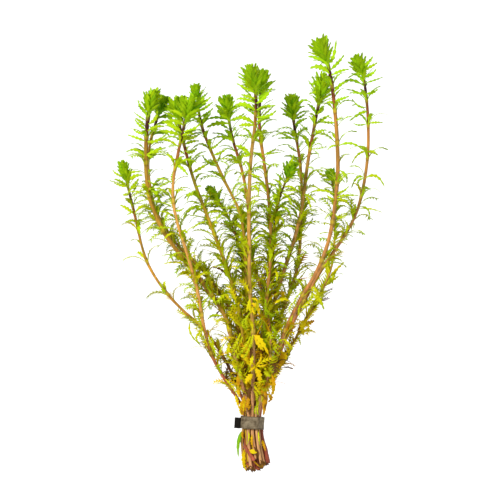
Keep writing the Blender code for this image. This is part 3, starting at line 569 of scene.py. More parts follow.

# Leaves and scraps that stand out low down and on the cut ends, in MM: foot, a place on the way
# and tip (x, y each), width, kind, age and darkness, which is partly painted shade and partly
# the leaf's own darker colour. Each grows from the nearest shoot.
LOW_LEAVES = (
    (-38.1, 62.0, -37.3, 54.0, -30.1, 45.9, 1.6, "s", 0.55, 0.1),
    (-30.9, 58.0, -31.7, 54.0, -29.3, 50.7, 4.2, "f", 0.55, 0.1),
    (-32.1, 55.6, -33.7, 51.5, -31.1, 47.7, 1.8, "s", 0.50, 0.1),
    (-52.6, 79.7, -55.0, 82.9, -55.4, 84.9, 3.0, "f", 0.35, 0.1),
    (-51.4, 78.5, -53.8, 79.7, -54.2, 82.1, 3.0, "s", 0.30, 0.1),
    (-34.9, 81.3, -39.7, 81.3, -40.4, 77.1, 3.0, "f", 0.35, 0.1),
    (-35.3, 81.3, -37.3, 83.7, -39.3, 84.5, 2.4, "f", 0.35, 0.1),
    (-33.3, 71.2, -37.3, 71.2, -40.7, 69.2, 3.0, "f", 0.35, 0.1),
    (-33.3, 70.8, -35.3, 68.8, -35.3, 65.0, 2.4, "f", 0.45, 0.1),
    (-32.9, 75.7, -35.7, 74.0, -37.3, 75.7, 2.4, "f", 0.35, 0.1),
    (-26.9, 76.5, -29.3, 72.4, -29.3, 68.8, 3.0, "f", 0.35, 0.1),
    (-26.1, 75.7, -26.1, 70.8, -23.7, 68.0, 3.6, "f", 0.30, 0.1),
    (-24.5, 76.5, -22.9, 73.2, -19.7, 72.4, 3.6, "f", 0.35, 0.1),
    (-19.7, 64.4, -23.7, 64.8, -27.0, 62.0, 2.1, "s", 0.40, 0.3),
    (-19.7, 63.6, -21.3, 60.4, -19.7, 58.4, 4.2, "f", 0.75, 0.1),
    (-18.9, 62.0, -22.1, 62.0, -22.9, 64.4, 3.6, "f", 0.70, 0.1),
    (-19.7, 81.3, -16.4, 77.3, -12.3, 72.8, 2.4, "s", 0.85, 0.1),
    (-21.3, 83.7, -16.4, 79.7, -13.2, 79.7, 3.6, "f", 0.50, 0.1),
    (-16.4, 74.0, -18.0, 68.4, -19.7, 66.8, 3.0, "f", 0.45, 0.1),
    (-14.0, 71.6, -10.0, 70.8, -8.4, 74.0, 3.0, "f", 0.40, 0.1),
    (-10.0, 66.0, -7.6, 63.6, -6.0, 59.6, 3.0, "f", 0.55, 0.1),
    (-5.2, 64.4, -6.0, 60.4, -3.6, 56.4, 3.6, "f", 0.50, 0.1),
    (-2.4, 66.8, -4.0, 62.0, -2.4, 56.4, 3.6, "f", 0.50, 0.1),
    (-23.7, 53.2, -25.3, 48.3, -22.1, 42.7, 3.6, "f", 0.50, 0.1),
    (-21.3, 51.5, -23.3, 45.9, -21.3, 37.9, 3.6, "f", 0.50, 0.1),
    (-18.0, 49.9, -18.9, 44.3, -20.1, 38.7, 3.0, "f", 0.60, 0.1),
    (-12.4, 49.1, -15.2, 44.3, -14.4, 38.7, 3.6, "f", 0.50, 0.1),
    (-10.0, 51.5, -14.0, 46.7, -14.8, 38.7, 3.0, "s", 0.72, 0.1),
    (-8.4, 54.0, -10.0, 47.5, -13.2, 42.7, 4.8, "f", 0.62, 0.1),
    (-5.2, 52.4, -8.4, 45.9, -12.4, 39.5, 4.8, "f", 0.66, 0.1),
    (-2.8, 52.4, -4.4, 45.9, -9.2, 40.3, 4.8, "f", 0.64, 0.1),
    (-2.0, 50.7, -2.8, 43.5, -6.0, 38.7, 3.6, "f", 0.60, 0.1),
    (-16.4, 45.9, -14.0, 40.3, -10.0, 37.9, 3.6, "f", 0.60, 0.1),
    (-8.4, 39.5, -9.6, 34.7, -9.2, 29.9, 3.6, "f", 0.50, 0.1),
    (-6.0, 37.9, -7.6, 31.5, -6.0, 25.0, 4.2, "f", 0.50, 0.1),
    (-13.2, 38.7, -11.2, 35.5, -9.2, 30.7, 3.0, "s", 0.75, 0.1),
    (-12.0, 29.9, -9.2, 28.2, -7.2, 25.0, 2.4, "s", 0.90, 0.1),
    (-14.8, 26.6, -12.4, 22.6, -8.8, 17.0, 3.6, "f", 0.75, 0.1),
    (-11.6, 25.0, -9.2, 21.8, -8.4, 15.4, 3.0, "f", 0.70, 0.1),
    (-10.0, 17.0, -9.2, 13.0, -7.8, 8.2, 2.4, "s", 0.90, 0.1),
    (-5.2, 17.0, -6.0, 12.2, -6.6, 6.9, 2.4, "s", 1.14, 0.1),
    (-4.2, 15.4, -5.2, 11.4, -5.2, 6.5, 2.4, "s", 0.94, 0.1),
    (-6.0, 14.6, -6.8, 11.4, -7.4, 7.8, 1.8, "s", 0.90, 0.1),
    (-3.2, 16.2, -4.2, 11.4, -3.6, 6.9, 2.4, "s", 1.16, 0.1),
    (-2.8, 17.0, -2.6, 12.2, -4.2, 9.0, 2.4, "s", 1.12, 0.1),
    (-2.4, 13.8, -2.0, 10.6, -2.4, 6.9, 3.0, "s", 1.18, 0.1),
    (-1.2, 75.7, -2.4, 70.8, -3.7, 66.8, 2.4, "s", 0.75, 0.1),
    (-1.0, 74.9, -1.6, 70.0, -0.4, 66.0, 2.4, "s", 0.80, 0.1),
    (-0.4, 74.9, 2.8, 74.0, 3.0, 69.2, 1.8, "s", 0.90, 0.1),
    (0.6, 72.4, 2.8, 70.0, 3.8, 65.0, 3.6, "s", 0.94, 0.1),
    (0.4, 71.6, 0.4, 67.6, 2.0, 66.0, 2.4, "s", 0.90, 0.1),
    (2.0, 53.2, 4.9, 49.9, 9.7, 41.7, 3.9, "s", 0.94, 0.1),
    (2.4, 52.4, 4.5, 46.7, 6.9, 43.9, 3.0, "s", 0.94, 0.1),
    (1.6, 54.0, -0.4, 49.9, -0.8, 45.1, 3.6, "f", 0.60, 0.1),
    (5.3, 54.0, 6.9, 50.7, 9.3, 46.7, 3.0, "f", 0.30, 0.4),
    (2.8, 34.7, 4.6, 37.9, 5.1, 42.3, 1.8, "s", 0.94, 0.1),
    (2.8, 34.7, 0.4, 33.5, -2.4, 30.7, 2.2, "s", 0.94, 0.1),
    (2.8, 34.7, 0.0, 36.3, -1.2, 37.9, 1.6, "s", 0.94, 0.1),
    (2.8, 34.7, 6.1, 34.7, 9.1, 36.1, 1.9, "s", 0.94, 0.1),
    (2.8, 33.9, 4.1, 29.0, 4.1, 22.5, 4.2, "s", 0.94, 0.1),
    (2.4, 34.3, 2.8, 30.7, 2.0, 28.2, 1.8, "s", 0.90, 0.1),
    (0.0, 29.9, -2.4, 27.4, -4.2, 23.8, 4.2, "s", 0.90, 0.1),
    (-0.8, 29.4, -1.6, 26.2, -0.8, 23.4, 2.4, "s", 0.90, 0.1),
    (-3.6, 30.7, -5.2, 26.6, -4.0, 23.8, 3.0, "f", 0.70, 0.1),
    (2.0, 23.4, 2.8, 20.2, 5.3, 17.0, 3.6, "f", 0.75, 0.1),
    (1.2, 20.2, 2.8, 17.0, 2.0, 13.0, 3.6, "f", 0.70, 0.1),
    (2.0, 15.4, 3.6, 12.2, 1.2, 9.0, 3.0, "f", 0.65, 0.1),
    (2.8, 11.4, 1.6, 8.2, 1.9, 4.8, 3.0, "f", 0.45, 0.1),
    (4.5, 20.2, 6.1, 16.2, 5.3, 12.2, 3.0, "f", 0.70, 0.1),
    (-5.2, 38.7, -2.0, 34.7, -3.6, 30.7, 3.0, "f", 0.60, 0.1),
    (-2.0, 42.7, -0.4, 38.7, -1.6, 34.7, 3.0, "s", 0.75, 0.1),
    (6.9, 75.7, 7.7, 68.4, 9.3, 62.0, 4.2, "f", 0.25, 0.1),
    (10.9, 74.0, 9.3, 67.6, 6.5, 64.4, 4.2, "f", 0.25, 0.1),
    (13.3, 67.6, 14.9, 62.8, 16.1, 58.8, 4.2, "f", 0.22, 0.1),
    (8.5, 70.0, 10.9, 65.2, 14.1, 65.2, 3.6, "f", 0.25, 0.1),
    (7.7, 62.0, 6.9, 57.2, 8.5, 51.5, 4.2, "f", 0.30, 0.1),
    (12.5, 59.6, 13.3, 55.6, 17.3, 51.5, 4.2, "f", 0.30, 0.3),
    (14.1, 54.0, 15.7, 50.7, 18.5, 47.5, 3.6, "f", 0.30, 0.3),
    (6.9, 62.8, 4.5, 58.8, 2.8, 54.8, 3.6, "f", 0.40, 0.1),
    (9.3, 55.6, 7.7, 49.9, 9.3, 44.3, 3.6, "f", 0.35, 0.3),
    (11.3, 49.5, 14.9, 47.1, 17.7, 44.7, 1.6, "s", 0.40, 0.1),
    (11.3, 47.1, 14.1, 43.5, 16.7, 40.7, 1.6, "s", 0.40, 0.1),
    (11.3, 44.3, 13.3, 40.3, 15.7, 37.9, 2.4, "f", 0.45, 0.3),
    (6.9, 41.1, 7.7, 37.9, 10.1, 35.5, 3.0, "f", 0.50, 0.4),
    (6.5, 33.9, 9.7, 32.7, 12.9, 29.9, 5.4, "f", 0.55, 0.1),
    (7.3, 33.1, 8.5, 29.9, 11.3, 28.6, 4.2, "s", 0.60, 0.1),
    (9.3, 34.7, 11.7, 33.9, 15.3, 32.7, 2.0, "s", 0.20, 1.0),
    (13.3, 37.1, 14.5, 35.1, 14.9, 32.7, 2.4, "s", 0.90, 0.1),
    (19.7, 42.7, 18.1, 38.7, 15.3, 34.3, 4.2, "s", 1.08, 0.1),
    (18.9, 43.5, 19.7, 40.3, 17.7, 37.1, 3.6, "s", 0.90, 0.1),
    (20.9, 50.7, 22.1, 46.7, 24.4, 44.3, 3.0, "s", 0.70, 0.1),
    (20.5, 49.1, 20.9, 44.3, 21.3, 41.9, 3.0, "f", 0.80, 0.1),
    (32.2, 62.8, 30.2, 58.0, 31.0, 52.4, 4.2, "s", 0.82, 0.1),
    (32.6, 62.0, 33.8, 57.2, 32.2, 51.9, 4.8, "f", 0.85, 0.1),
    (27.8, 52.4, 28.4, 49.5, 29.0, 46.6, 1.6, "s", 0.60, 0.1),
    (38.2, 82.1, 35.8, 77.3, 33.4, 73.6, 4.2, "f", 0.55, 0.1),
    (39.8, 82.1, 39.4, 76.5, 37.8, 69.6, 5.4, "f", 0.62, 0.1),
    (41.0, 81.3, 41.8, 76.5, 40.6, 72.8, 4.8, "f", 0.60, 0.1),
    (38.6, 78.9, 40.2, 74.0, 43.0, 68.0, 3.0, "s", 0.55, 0.1),
    (39.4, 78.1, 38.2, 74.0, 37.0, 70.0, 3.6, "f", 0.66, 0.1),
    (26.1, 85.3, 24.9, 81.3, 27.0, 76.9, 4.2, "f", 0.40, 0.1),
    (23.7, 83.7, 22.9, 79.7, 20.5, 78.1, 3.6, "f", 0.45, 0.1),
    (19.7, 79.7, 18.5, 76.9, 16.7, 74.7, 3.6, "s", 0.92, 0.1),
    (18.9, 76.5, 16.5, 73.2, 15.7, 70.0, 4.2, "f", 0.45, 0.1),
    (27.8, 78.9, 25.3, 74.0, 27.0, 69.2, 3.6, "f", 0.45, 0.1),
    (23.7, 74.0, 22.1, 69.2, 23.7, 65.2, 3.6, "f", 0.45, 0.1),
    (29.4, 70.8, 27.8, 66.8, 28.6, 62.8, 3.0, "f", 0.50, 0.1),
    (25.3, 66.0, 22.9, 61.2, 23.7, 58.0, 3.0, "f", 0.50, 0.1),
    (46.2, 86.9, 47.8, 85.3, 48.2, 83.7, 2.4, "s", 0.40, 0.1),
    (12.9, 29.9, 12.9, 23.4, 11.3, 17.0, 3.0, "s", 1.08, 0.1),
    (11.3, 26.6, 12.5, 21.8, 12.1, 17.0, 3.0, "s", 0.90, 0.1),
    (10.9, 17.8, 11.3, 15.4, 9.3, 12.6, 3.0, "s", 1.12, 0.1),
    (10.1, 21.8, 10.2, 17.8, 9.7, 14.6, 2.4, "f", 0.90, 0.1),
    (-6.2, 12.2, -6.0, 8.2, -5.6, 4.4, 3.0, "b", 1.18, 0.1),
    (-1.8, 13.8, -2.1, 9.0, -1.8, 4.8, 2.0, "s", 1.30, 0.1),
    (2.2, 14.6, 3.1, 9.8, 2.7, 4.8, 1.3, "s", 0.55, 0.1),
    (3.8, 11.4, 3.0, 7.8, 3.8, 4.6, 1.1, "s", 0.60, 0.1),
    (6.6, 17.4, 7.2, 10.8, 6.5, 4.4, 2.8, "b", 1.14, 0.1),
    (8.6, 20.6, 8.2, 14.6, 7.2, 7.0, 2.4, "b", 1.20, 0.1),
    (-7.6, 11.4, -7.1, 7.4, -6.5, 4.6, 2.6, "s", 0.94, 0.1),
    (5.3, 23.4, 5.7, 18.6, 6.9, 15.4, 2.4, "s", 1.20, 0.1),
    (-6.0, 23.4, -8.4, 19.4, -7.6, 15.4, 3.0, "s", 1.05, 0.1),
    (-10.0, 29.9, -8.4, 25.0, -9.2, 21.8, 3.0, "s", 1.10, 0.1),
    (-5.2, 25.0, -3.6, 20.2, -6.0, 17.0, 3.0, "s", 1.30, 0.1),
    (-0.4, 22.6, -2.0, 18.6, -1.6, 14.6, 3.0, "s", 1.35, 0.1),
    (-13.2, 34.7, -12.4, 30.7, -10.0, 26.6, 3.0, "f", 1.35, 0.1),
    (-16.4, 41.1, -14.8, 36.3, -14.0, 31.5, 3.0, "f", 1.30, 0.1),
    (6.9, 45.9, 6.1, 41.1, 7.3, 36.3, 3.0, "f", 1.35, 0.1),
    (-2.0, 47.5, -0.8, 42.7, -1.6, 39.5, 2.4, "s", 1.35, 0.1),
    (-6.6, -3.9, -8.3, -11.1, -8.3, -21.0, 2.4, "b", 0.12, 0.9),
    (-5.2, -4.7, -6.2, -7.1, -5.2, -9.5, 1.8, "s", 1.10, 0.1),
    (-5.8, -15.0, -5.6, -22.4, -3.8, -28.8, 2.6, "s", 0.93, 0.1),
    (-4.8, -17.6, -5.2, -24.0, -3.6, -29.0, 2.6, "s", 0.94, 0.1),
    (-2.4, -4.7, -2.1, -8.7, -3.2, -12.7, 1.2, "s", 0.70, 0.1),
    (0.4, -6.3, -0.4, -11.1, 0.6, -15.1, 1.8, "s", 1.10, 0.1),
    (-0.6, -16.4, 0.8, -17.3, 3.0, -17.4, 2.8, "b", 0.93, 0.0),
    (-4.0, -25.0, -1.4, -27.2, 2.4, -27.6, 1.6, "s", 1.22, 0.1),
    (-2.4, -25.8, -2.8, -27.8, -4.0, -29.4, 1.8, "s", 1.34, 0.1),
    (-1.6, -27.4, -0.4, -28.6, 0.2, -30.0, 1.8, "s", 1.30, 0.1),
    (0.6, -22.0, 2.4, -24.6, 4.4, -26.6, 1.2, "s", 1.20, 0.1),
    (2.4, -26.6, 3.8, -27.8, 5.0, -29.2, 1.8, "s", 1.34, 0.1),
    (8.6, -23.6, 9.2, -24.9, 9.9, -25.7, 1.4, "s", 1.36, 0.1),
    (0.2, -26.2, 0.9, -27.9, 1.2, -29.7, 1.6, "b", 1.36, 0.1),
    (3.6, -24.6, 5.4, -26.6, 6.8, -26.2, 2.2, "s", 1.30, 0.1),
    (-3.4, -24.8, -2.6, -27.2, -2.2, -29.4, 1.4, "b", 1.36, 0.1),
    (2.0, -14.4, 2.8, -18.0, 2.4, -22.6, 1.8, "b", 1.36, 0.1),
    (5.6, -22.4, 6.2, -25.0, 6.2, -27.8, 1.8, "b", 1.30, 0.1),
    (7.2, -22.8, 7.4, -24.8, 7.0, -26.6, 1.4, "s", 1.24, 0.1),
    (6.9, -9.5, 6.9, -13.5, 7.8, -16.8, 2.0, "s", 1.12, 0.1),
    (4.5, -3.9, 3.8, -8.7, 4.5, -13.5, 1.2, "s", 0.65, 0.1),
)


def leaf_path(shoot, place, angle, length, rise_deg, spread_deg, droop, sway=0.0):
    """Base, middle, tip and width direction of a leaf on the stem at this place."""
    forward, side, up = shoot.line.frame_at(place)
    outward = math.cos(angle) * side + math.sin(angle) * up
    across = np.cross(forward, outward)
    rise = math.radians(rise_deg)
    spread = math.radians(spread_deg)
    first = outward * math.cos(rise) + forward * math.sin(rise)
    second = outward * math.cos(spread) + forward * math.sin(spread)
    base = shoot.line.at(place) + 0.7 * shoot.radius(place) * outward
    middle = base + length * (0.5 * first + 0.35 * sway * across)
    tip = middle + length * (0.5 * second - 0.1 * sway * across)
    middle[2] -= 0.25 * droop * length
    tip[2] -= droop * length
    middle[2] = max(middle[2], LOWEST_MIDDLE)
    tip[2] = max(tip[2], LOWEST_TIP)
    return (base, middle, tip), across


def crown_leaf_path(shoot, place, angle, tip_place, out, lean):
    """Base, middle, tip and width direction of a crown leaf that ends this far out."""
    forward, side, up = shoot.line.frame_at(shoot.crown_places[0])
    outward = math.cos(angle) * side + math.sin(angle) * up
    base = shoot.line.at(place) + 0.5 * shoot.radius(place) * outward
    tip = shoot.line.at(shoot.crown_places[0]) + out * outward
    beyond = tip_place - shoot.crown_places[0]
    tip = tip + beyond * forward + lean * beyond / shoot.crown_height * np.array((1.0, 0.0, 0.0))
    middle = 0.5 * (base + tip) - 0.06 * np.linalg.norm(tip - base) * outward
    tip[2] = max(tip[2], LOWEST_TIP)
    across = np.cross(forward, outward)
    level = unit(np.cross(tip - base, (0.0, 0.0, 1.0)))
    across = across + 0.8 * level * (1.0 if across @ level > 0.0 else -1.0)
    return (base, middle, tip), across


def inside_outline(point):
    """Whether a leaf tip keeps within the bunch's outline low down, where it is narrow."""
    y = point[1]
    margin = float(np.interp(y / MM, OUTLINE_Y_MM, OUTLINE_MARGIN_MM)) * MM
    edges = [shoot.line.x_at_y(y) for shoot in SHOOTS.values() if shoot.line.reaches(y)]
    return bool(edges) and min(edges) - margin < point[0] < max(edges) + margin


def beside(turn):
    """Share of leaves kept at this turn round the stem: few hide it from above."""
    return KEPT_ON_TOP if math.sin(turn) > ON_TOP else 1.0


def around(shoot, place, point):
    """Angle round the stem at which this point lies."""
    _, side, up = shoot.line.frame_at(place)
    away = point - shoot.line.at(place)
    return math.atan2(float(away @ up), float(away @ side))


def age_at(y):
    """The leaves' age at this height above the strip."""
    return float(np.interp(y / MM, AGE_Y_MM, AGES))


def painted_shade_at(look, y):
    """How much painted shade a shoot's leaves get at this height above the strip."""
    return look.darkness * float(np.interp(y / MM, SHADE_Y_MM, SHADE_SHARES))


def fullness_at(look, y, settings):
    """How full a shoot's leaves are at this height above the strip."""
    return look.low_fullness if y < settings.bush_top else look.high_fullness


def between_whorls(shoot, settings):
    """Places of the whorls that stand between those of the CAD shoot."""
    lowest = shoot.line.length_at_y(settings.lowest_whorl)
    places = [lowest, *shoot.whorls, shoot.crown_places[0]]
    found = []
    for low, high in zip(places, places[1:]):
        in_bush = shoot.line.at(0.5 * (low + high))[1] < settings.bush_top
        step = settings.bush_spacing if in_bush else 0.5 * (high - low)
        count = max(1, round((high - low) / step) - 1)
        found += [low + (high - low) * n / (count + 1) for n in range(1, count + 1)]
    return found


def grow_whorl(shoot, place, turns, gatherer, models, dark, rng):
    """Leaves of one whorl at the given turns round the stem."""
    from_crown = (shoot.crown_places[0] - place) / MM
    y = shoot.line.at(place)[1]
    untidy = float(np.interp(y / MM, UNTIDY_Y_MM, UNTIDINESS))
    for turn in turns:
        length = np.interp(from_crown, STATIONS_MM, LENGTHS_MM) * MM * rng.uniform(0.7, 1.15)
        rise = np.interp(from_crown, STATIONS_MM, RISES_DEG) + rng.uniform(-12.0, 12.0)
        spread = np.interp(from_crown, STATIONS_MM, SPREADS_DEG) + rng.uniform(-26.0, 26.0)
        if rng.random() < 0.6 * untidy:
            rise += rng.uniform(10.0, 26.0)
            spread += rng.uniform(20.0, 60.0)
        elif rng.random() < 0.5 * untidy:
            rise -= 25.0
            spread -= rng.uniform(25.0, 50.0)
        sway = rng.uniform(-0.5, 0.5)
        for lift in LIFTS_DEG:
            path, across = leaf_path(shoot, place, turn, length, min(85.0, rise + lift),
                                     min(80.0, spread + 1.6 * lift), rng.uniform(0, 0.15), sway)
            if inside_outline(path[2]):
                add_leaf(gatherer, models, path, across, y, from_crown, dark, rng)
                break


def add_leaf(gatherer, models, path, across, y, from_crown, dark, rng):
    """A leaf whose kind, age and darkness go by its place, with some chance in each; the darkness
    is painted shade with a random spread of the leaf's own tone.
    """
    feathered = rng.random() < float(np.interp(from_crown, FEATHER_STATIONS_MM, FEATHER_SHARES))
    model, _ = models["feather" if feathered else "strap"]
    old = age_at(y)
    age = old + rng.gauss(0.0, 0.06 + 0.10 * old)
    # Painted shade: the shoot's darkness here, with a random spread of the leaf's own tone.
    shade_and_tone = min(1.0, max(0.0, dark + rng.gauss(0.0, 0.2)))
    # Some old leaves are dead, golden or brown; these also paint the dark shade in the gaps of
    # the lower bush.
    if rng.random() < 0.6 * max(0.0, old - 0.5):
        age = rng.choice((1.1, 1.35)) + rng.uniform(-0.06, 0.06)
    twist = rng.uniform(-0.7, 0.7)
    gatherer.add(model, path, across, rng.uniform(0.8, 1.2), twist, age, shade_and_tone)


def nearest_shoot(x_mm, y_mm):
    """The shoot that passes nearest to this place, with those on top preferred."""
    y = y_mm * MM
    there = [shoot for shoot in SHOOTS.values() if shoot.line.reaches(y)]
    return min(there, key=lambda shoot: abs(shoot.line.x_at_y(y) - x_mm * MM)
               - 0.35 * shoot.line.at(shoot.line.length_at_y(y))[2])


def top_of_stems(x, y, reach):
    """Height of the highest stem within this reach of the place, or zero."""
    heights = [0.0]
    for shoot in SHOOTS.values():
        if shoot.line.reaches(y) and abs(shoot.line.x_at_y(y) - x) < reach:
            place = shoot.line.length_at_y(y)
            heights.append(shoot.line.at(place)[2] + shoot.radius(place))
    return max(heights)


# A leaf lies this far above the stems that are within its reach, which is shorter at the cut
# ends, where leaves and scraps lie on top of the stems.
CLEAR_OF_STEMS = 0.8 * MM
REACH_IN_BUNCH = 4.0 * MM
REACH_AT_ENDS = 1.5 * MM


def lay_leaf(gatherer, models, shoot, way, width, kind, age, shade_and_tone, rng):
    """A leaf through three places seen from above, with its flat side up."""
    model, model_width = models[KINDS[kind]]
    stem = shoot.line.at(shoot.line.length_at_y(way[1] * MM))
    foot, middle, tip = (np.array((way[n] * MM, way[n + 1] * MM, stem[2])) for n in (0, 2, 4))
    foot[0] = 0.5 * (foot[0] + stem[0]) if abs(foot[0] - stem[0]) > 2.0 * MM else stem[0]
    length = np.linalg.norm(tip - foot)
    foot[2] += 0.5 * shoot.radius(shoot.line.length_at_y(way[1] * MM))
    reach = REACH_IN_BUNCH
    if way[1] < BELOW_STRIP_MM:
        reach = REACH_AT_ENDS
        foot[2] = top_of_stems(foot[0], foot[1], reach)
    middle[2] += (0.12 + 0.10 * rng.random()) * length
    tip[2] += rng.uniform(-0.1, 0.2) * length
    for point, most in ((middle, 0.45), (tip, 0.6)):
        over = top_of_stems(point[0], point[1], reach) + CLEAR_OF_STEMS
        point[2] = max(point[2], min(over, foot[2] + most * length))
    across = np.cross(tip - foot, (0.0, 0.0, 1.0))
    gatherer.add(model, (foot, middle, tip), across, width * MM / model_width,
                 rng.uniform(-0.4, 0.4), age, shade_and_tone)


# Stems

# A corner is of the cut end if it is within the first of these of it, and the brown of the cut,
# the colour of a whorl's collar and the colours near the strip reach this far.
CUT_END = 5.0 * MM
CUT_REACH = 0.9 * MM
COLLAR_REACH = 1.5 * MM
LOW_REACH = 70.0 * MM


def draw_tube(name, centres, radii, settings):
    """A round tube through these points, with its low end cut off and hollowed."""
    start_clean()
    curve = bpy.data.curves.new(name, "CURVE")
    curve.dimensions = "3D"
    curve.fill_mode = "FULL"
    curve.bevel_depth = MM
    curve.bevel_resolution = 3
    curve.use_fill_caps = True
    spline = curve.splines.new("POLY")
    spline.points.add(len(centres) - 1)
    for point, centre, radius in zip(spline.points, centres, radii):
        point.co = (*centre, 1.0)
        point.radius = radius / MM
    drawn = bpy.data.objects.new(name, curve)
    bpy.context.scene.collection.objects.link(drawn)
    bpy.context.view_layer.objects.active = drawn
    drawn.select_set(True)
    bpy.ops.object.convert(target="MESH")
    tube = bpy.context.object
    hollow_cut_end(tube, settings)
    bpy.ops.object.shade_smooth_by_angle(angle=math.radians(50.0))
    return tube


def draw_stem(name, shoot, settings):
    """A tube along the shoot's line, with a swelling at each whorl."""
    steps = max(2, round(shoot.line.length / settings.ring_spacing))
    places = np.linspace(0.0, shoot.line.length, steps)
    whorls = np.array(shoot.whorls)
    radii = []
    for place in places:
        near = float(np.min(np.abs(whorls - place)))
        swelling = settings.collar_swelling * math.exp(-(near / settings.collar_length) ** 2)
        radii.append(shoot.radius(place) * (0.9 + swelling))
    stem = draw_tube(name, [shoot.line.at(place) for place in places], radii, settings)
    paint_stem(stem.data, shoot, places, whorls)
    return stem


def hollow_cut_end(stem, settings):
    """Set the middle of the cut face back a little, as a cut stem dries."""
    bpy.ops.object.mode_set(mode="EDIT")
    bpy.ops.mesh.select_mode(type="FACE")
    bpy.ops.mesh.select_all(action="SELECT")
    bpy.ops.mesh.remove_doubles(threshold=SAME_PLACE)
    bpy.ops.mesh.normals_make_consistent(inside=False)
    bpy.ops.mesh.select_all(action="DESELECT")
    mesh = bmesh.from_edit_mesh(stem.data)
    caps = [face for face in mesh.faces if len(face.verts) == 3]
    lowest = min(face.calc_center_median().y for face in caps)
    for face in caps:
        face.select_set(face.calc_center_median().y < lowest + CUT_END)
    bmesh.update_edit_mesh(stem.data)
    bpy.ops.mesh.dissolve_faces()
    mesh = bmesh.from_edit_mesh(stem.data)
    inwards = -next(face for face in mesh.faces if face.select).normal
    bpy.ops.mesh.inset(thickness=settings.cut_rim)
    bpy.ops.transform.translate(value=inwards * settings.cut_rim)
    bpy.ops.object.mode_set(mode="OBJECT")


def paint_stem(mesh, shoot, places, whorls):
    """Store each point's distance from the crown, how near it is to a whorl, to the cut end and
    to the strip, and the shoot's own colours."""
    points = np.empty(3 * len(mesh.vertices))
    mesh.vertices.foreach_get("co", points)
    points = points.reshape(-1, 3)
    centres = np.array([shoot.line.at(place) for place in places])
    distances = ((points[:, None, :] - centres[None, :, :]) ** 2).sum(axis=2)
    along = places[distances.argmin(axis=1)]
    nearest = np.abs(along[:, None] - whorls[None, :]).min(axis=1)
    store(mesh, "from_crown", (shoot.crown_places[0] - along) / MM)
    store(mesh, "collar", np.exp(-(nearest / COLLAR_REACH) ** 2))
    store(mesh, "cut", np.clip(1.0 - along / CUT_REACH, 0.0, 1.0))
    store(mesh, "low", np.clip(1.0 - points[:, 1] / LOW_REACH, 0.0, 1.0))
    look = LOOKS[shoot.name]
    for label, value in (("pale", look.paleness), ("green", look.greenness),
                         ("tone", look.tone)):
        store(mesh, label, np.full(len(points), value))


def store(mesh, label, values):
    """Keep a number at each point of the mesh, for its material."""
    attribute = mesh.attributes.new(label, "FLOAT", "POINT")
    attribute.data.foreach_set("value", np.asarray(values, float))


# Short pieces of stem that lie against the cut ends: the points (x, y, z) of each and its radius,
# in MM, its tone as in LOOKS, how much of that tone it shows, and the shoot that it belongs to.
STUBS = (
    (((-5.3, -3.2, 5.0), (-6.2, -8.0, 5.2), (-5.8, -18.0, 4.4), (-4.8, -27.4, 3.6)), 0.85, 0.62,
     1.0, "shoot_01"),
    (((-4.8, -13.6, 8.6), (-2.2, -17.8, 9.0), (1.0, -22.6, 8.4)), 1.15, 0.22, 1.0,
     "shoot_05"),
    (((5.2, -3.2, 4.6), (5.7, -9.6, 4.8), (7.4, -14.8, 4.7), (9.6, -24.6, 4.4)), 1.35, 0.05,
     1.0, "shoot_15"),
    (((5.2, -4.0, 2.2), (6.8, -13.0, 2.3), (7.8, -20.0, 2.4), (8.2, -26.0, 2.4)), 1.0, 0.2,
     1.0, "shoot_14"),
    (((-3.4, -16.0, 4.2), (-3.0, -22.0, 4.2), (-2.5, -28.4, 3.8)), 1.2, 0.17, 0.0, "shoot_03"),
    (((0.2, -17.0, 4.6), (0.6, -23.0, 4.4), (1.0, -29.2, 4.0)), 1.25, 0.20, 0.3, "shoot_06"),
    (((2.8, -18.0, 3.8), (3.0, -23.0, 3.8), (3.6, -28.6, 3.4)), 1.2, 0.15, 0.0, "shoot_09"),
)
STUB_RINGS = 12
FAR_FROM_CROWN_MM = 190.0


def draw_stub(name, points, radius, tone, low, settings):
    """A short cut piece of stem through these points."""
    line = Line(np.array(points) * MM)
    places = np.linspace(0.0, line.length, STUB_RINGS)
    radii = [radius * MM * (1.0 + 0.06 * math.sin(2.1 * ring)) for ring in range(STUB_RINGS)]
    stub = draw_tube(name, [line.at(place) for place in places], radii, settings)
    count = len(stub.data.vertices)
    ends = np.array([tuple(v.co) for v in stub.data.vertices])[:, 1]
    store(stub.data, "cut", np.clip(1.0 - (ends - ends.min()) / CUT_REACH, 0.0, 1.0))
    for label, value in (("from_crown", FAR_FROM_CROWN_MM), ("collar", 0.0), ("pale", 0.0),
                         ("green", 0.0), ("low", low), ("tone", tone)):
        store(stub.data, label, np.full(count, value))
    return stub


# Lead strip

# Small dents, the seed that they are drawn from, the places along X between which the dark loose
# end begins, and the distances from the middle line between which the edges darken.
DENTS = 70
DENT_SEED = 5
LOOSE_END_X = (-7.0 * MM, -7.3 * MM)
DARKER_EDGE_Y = (2.9 * MM, 3.6 * MM)


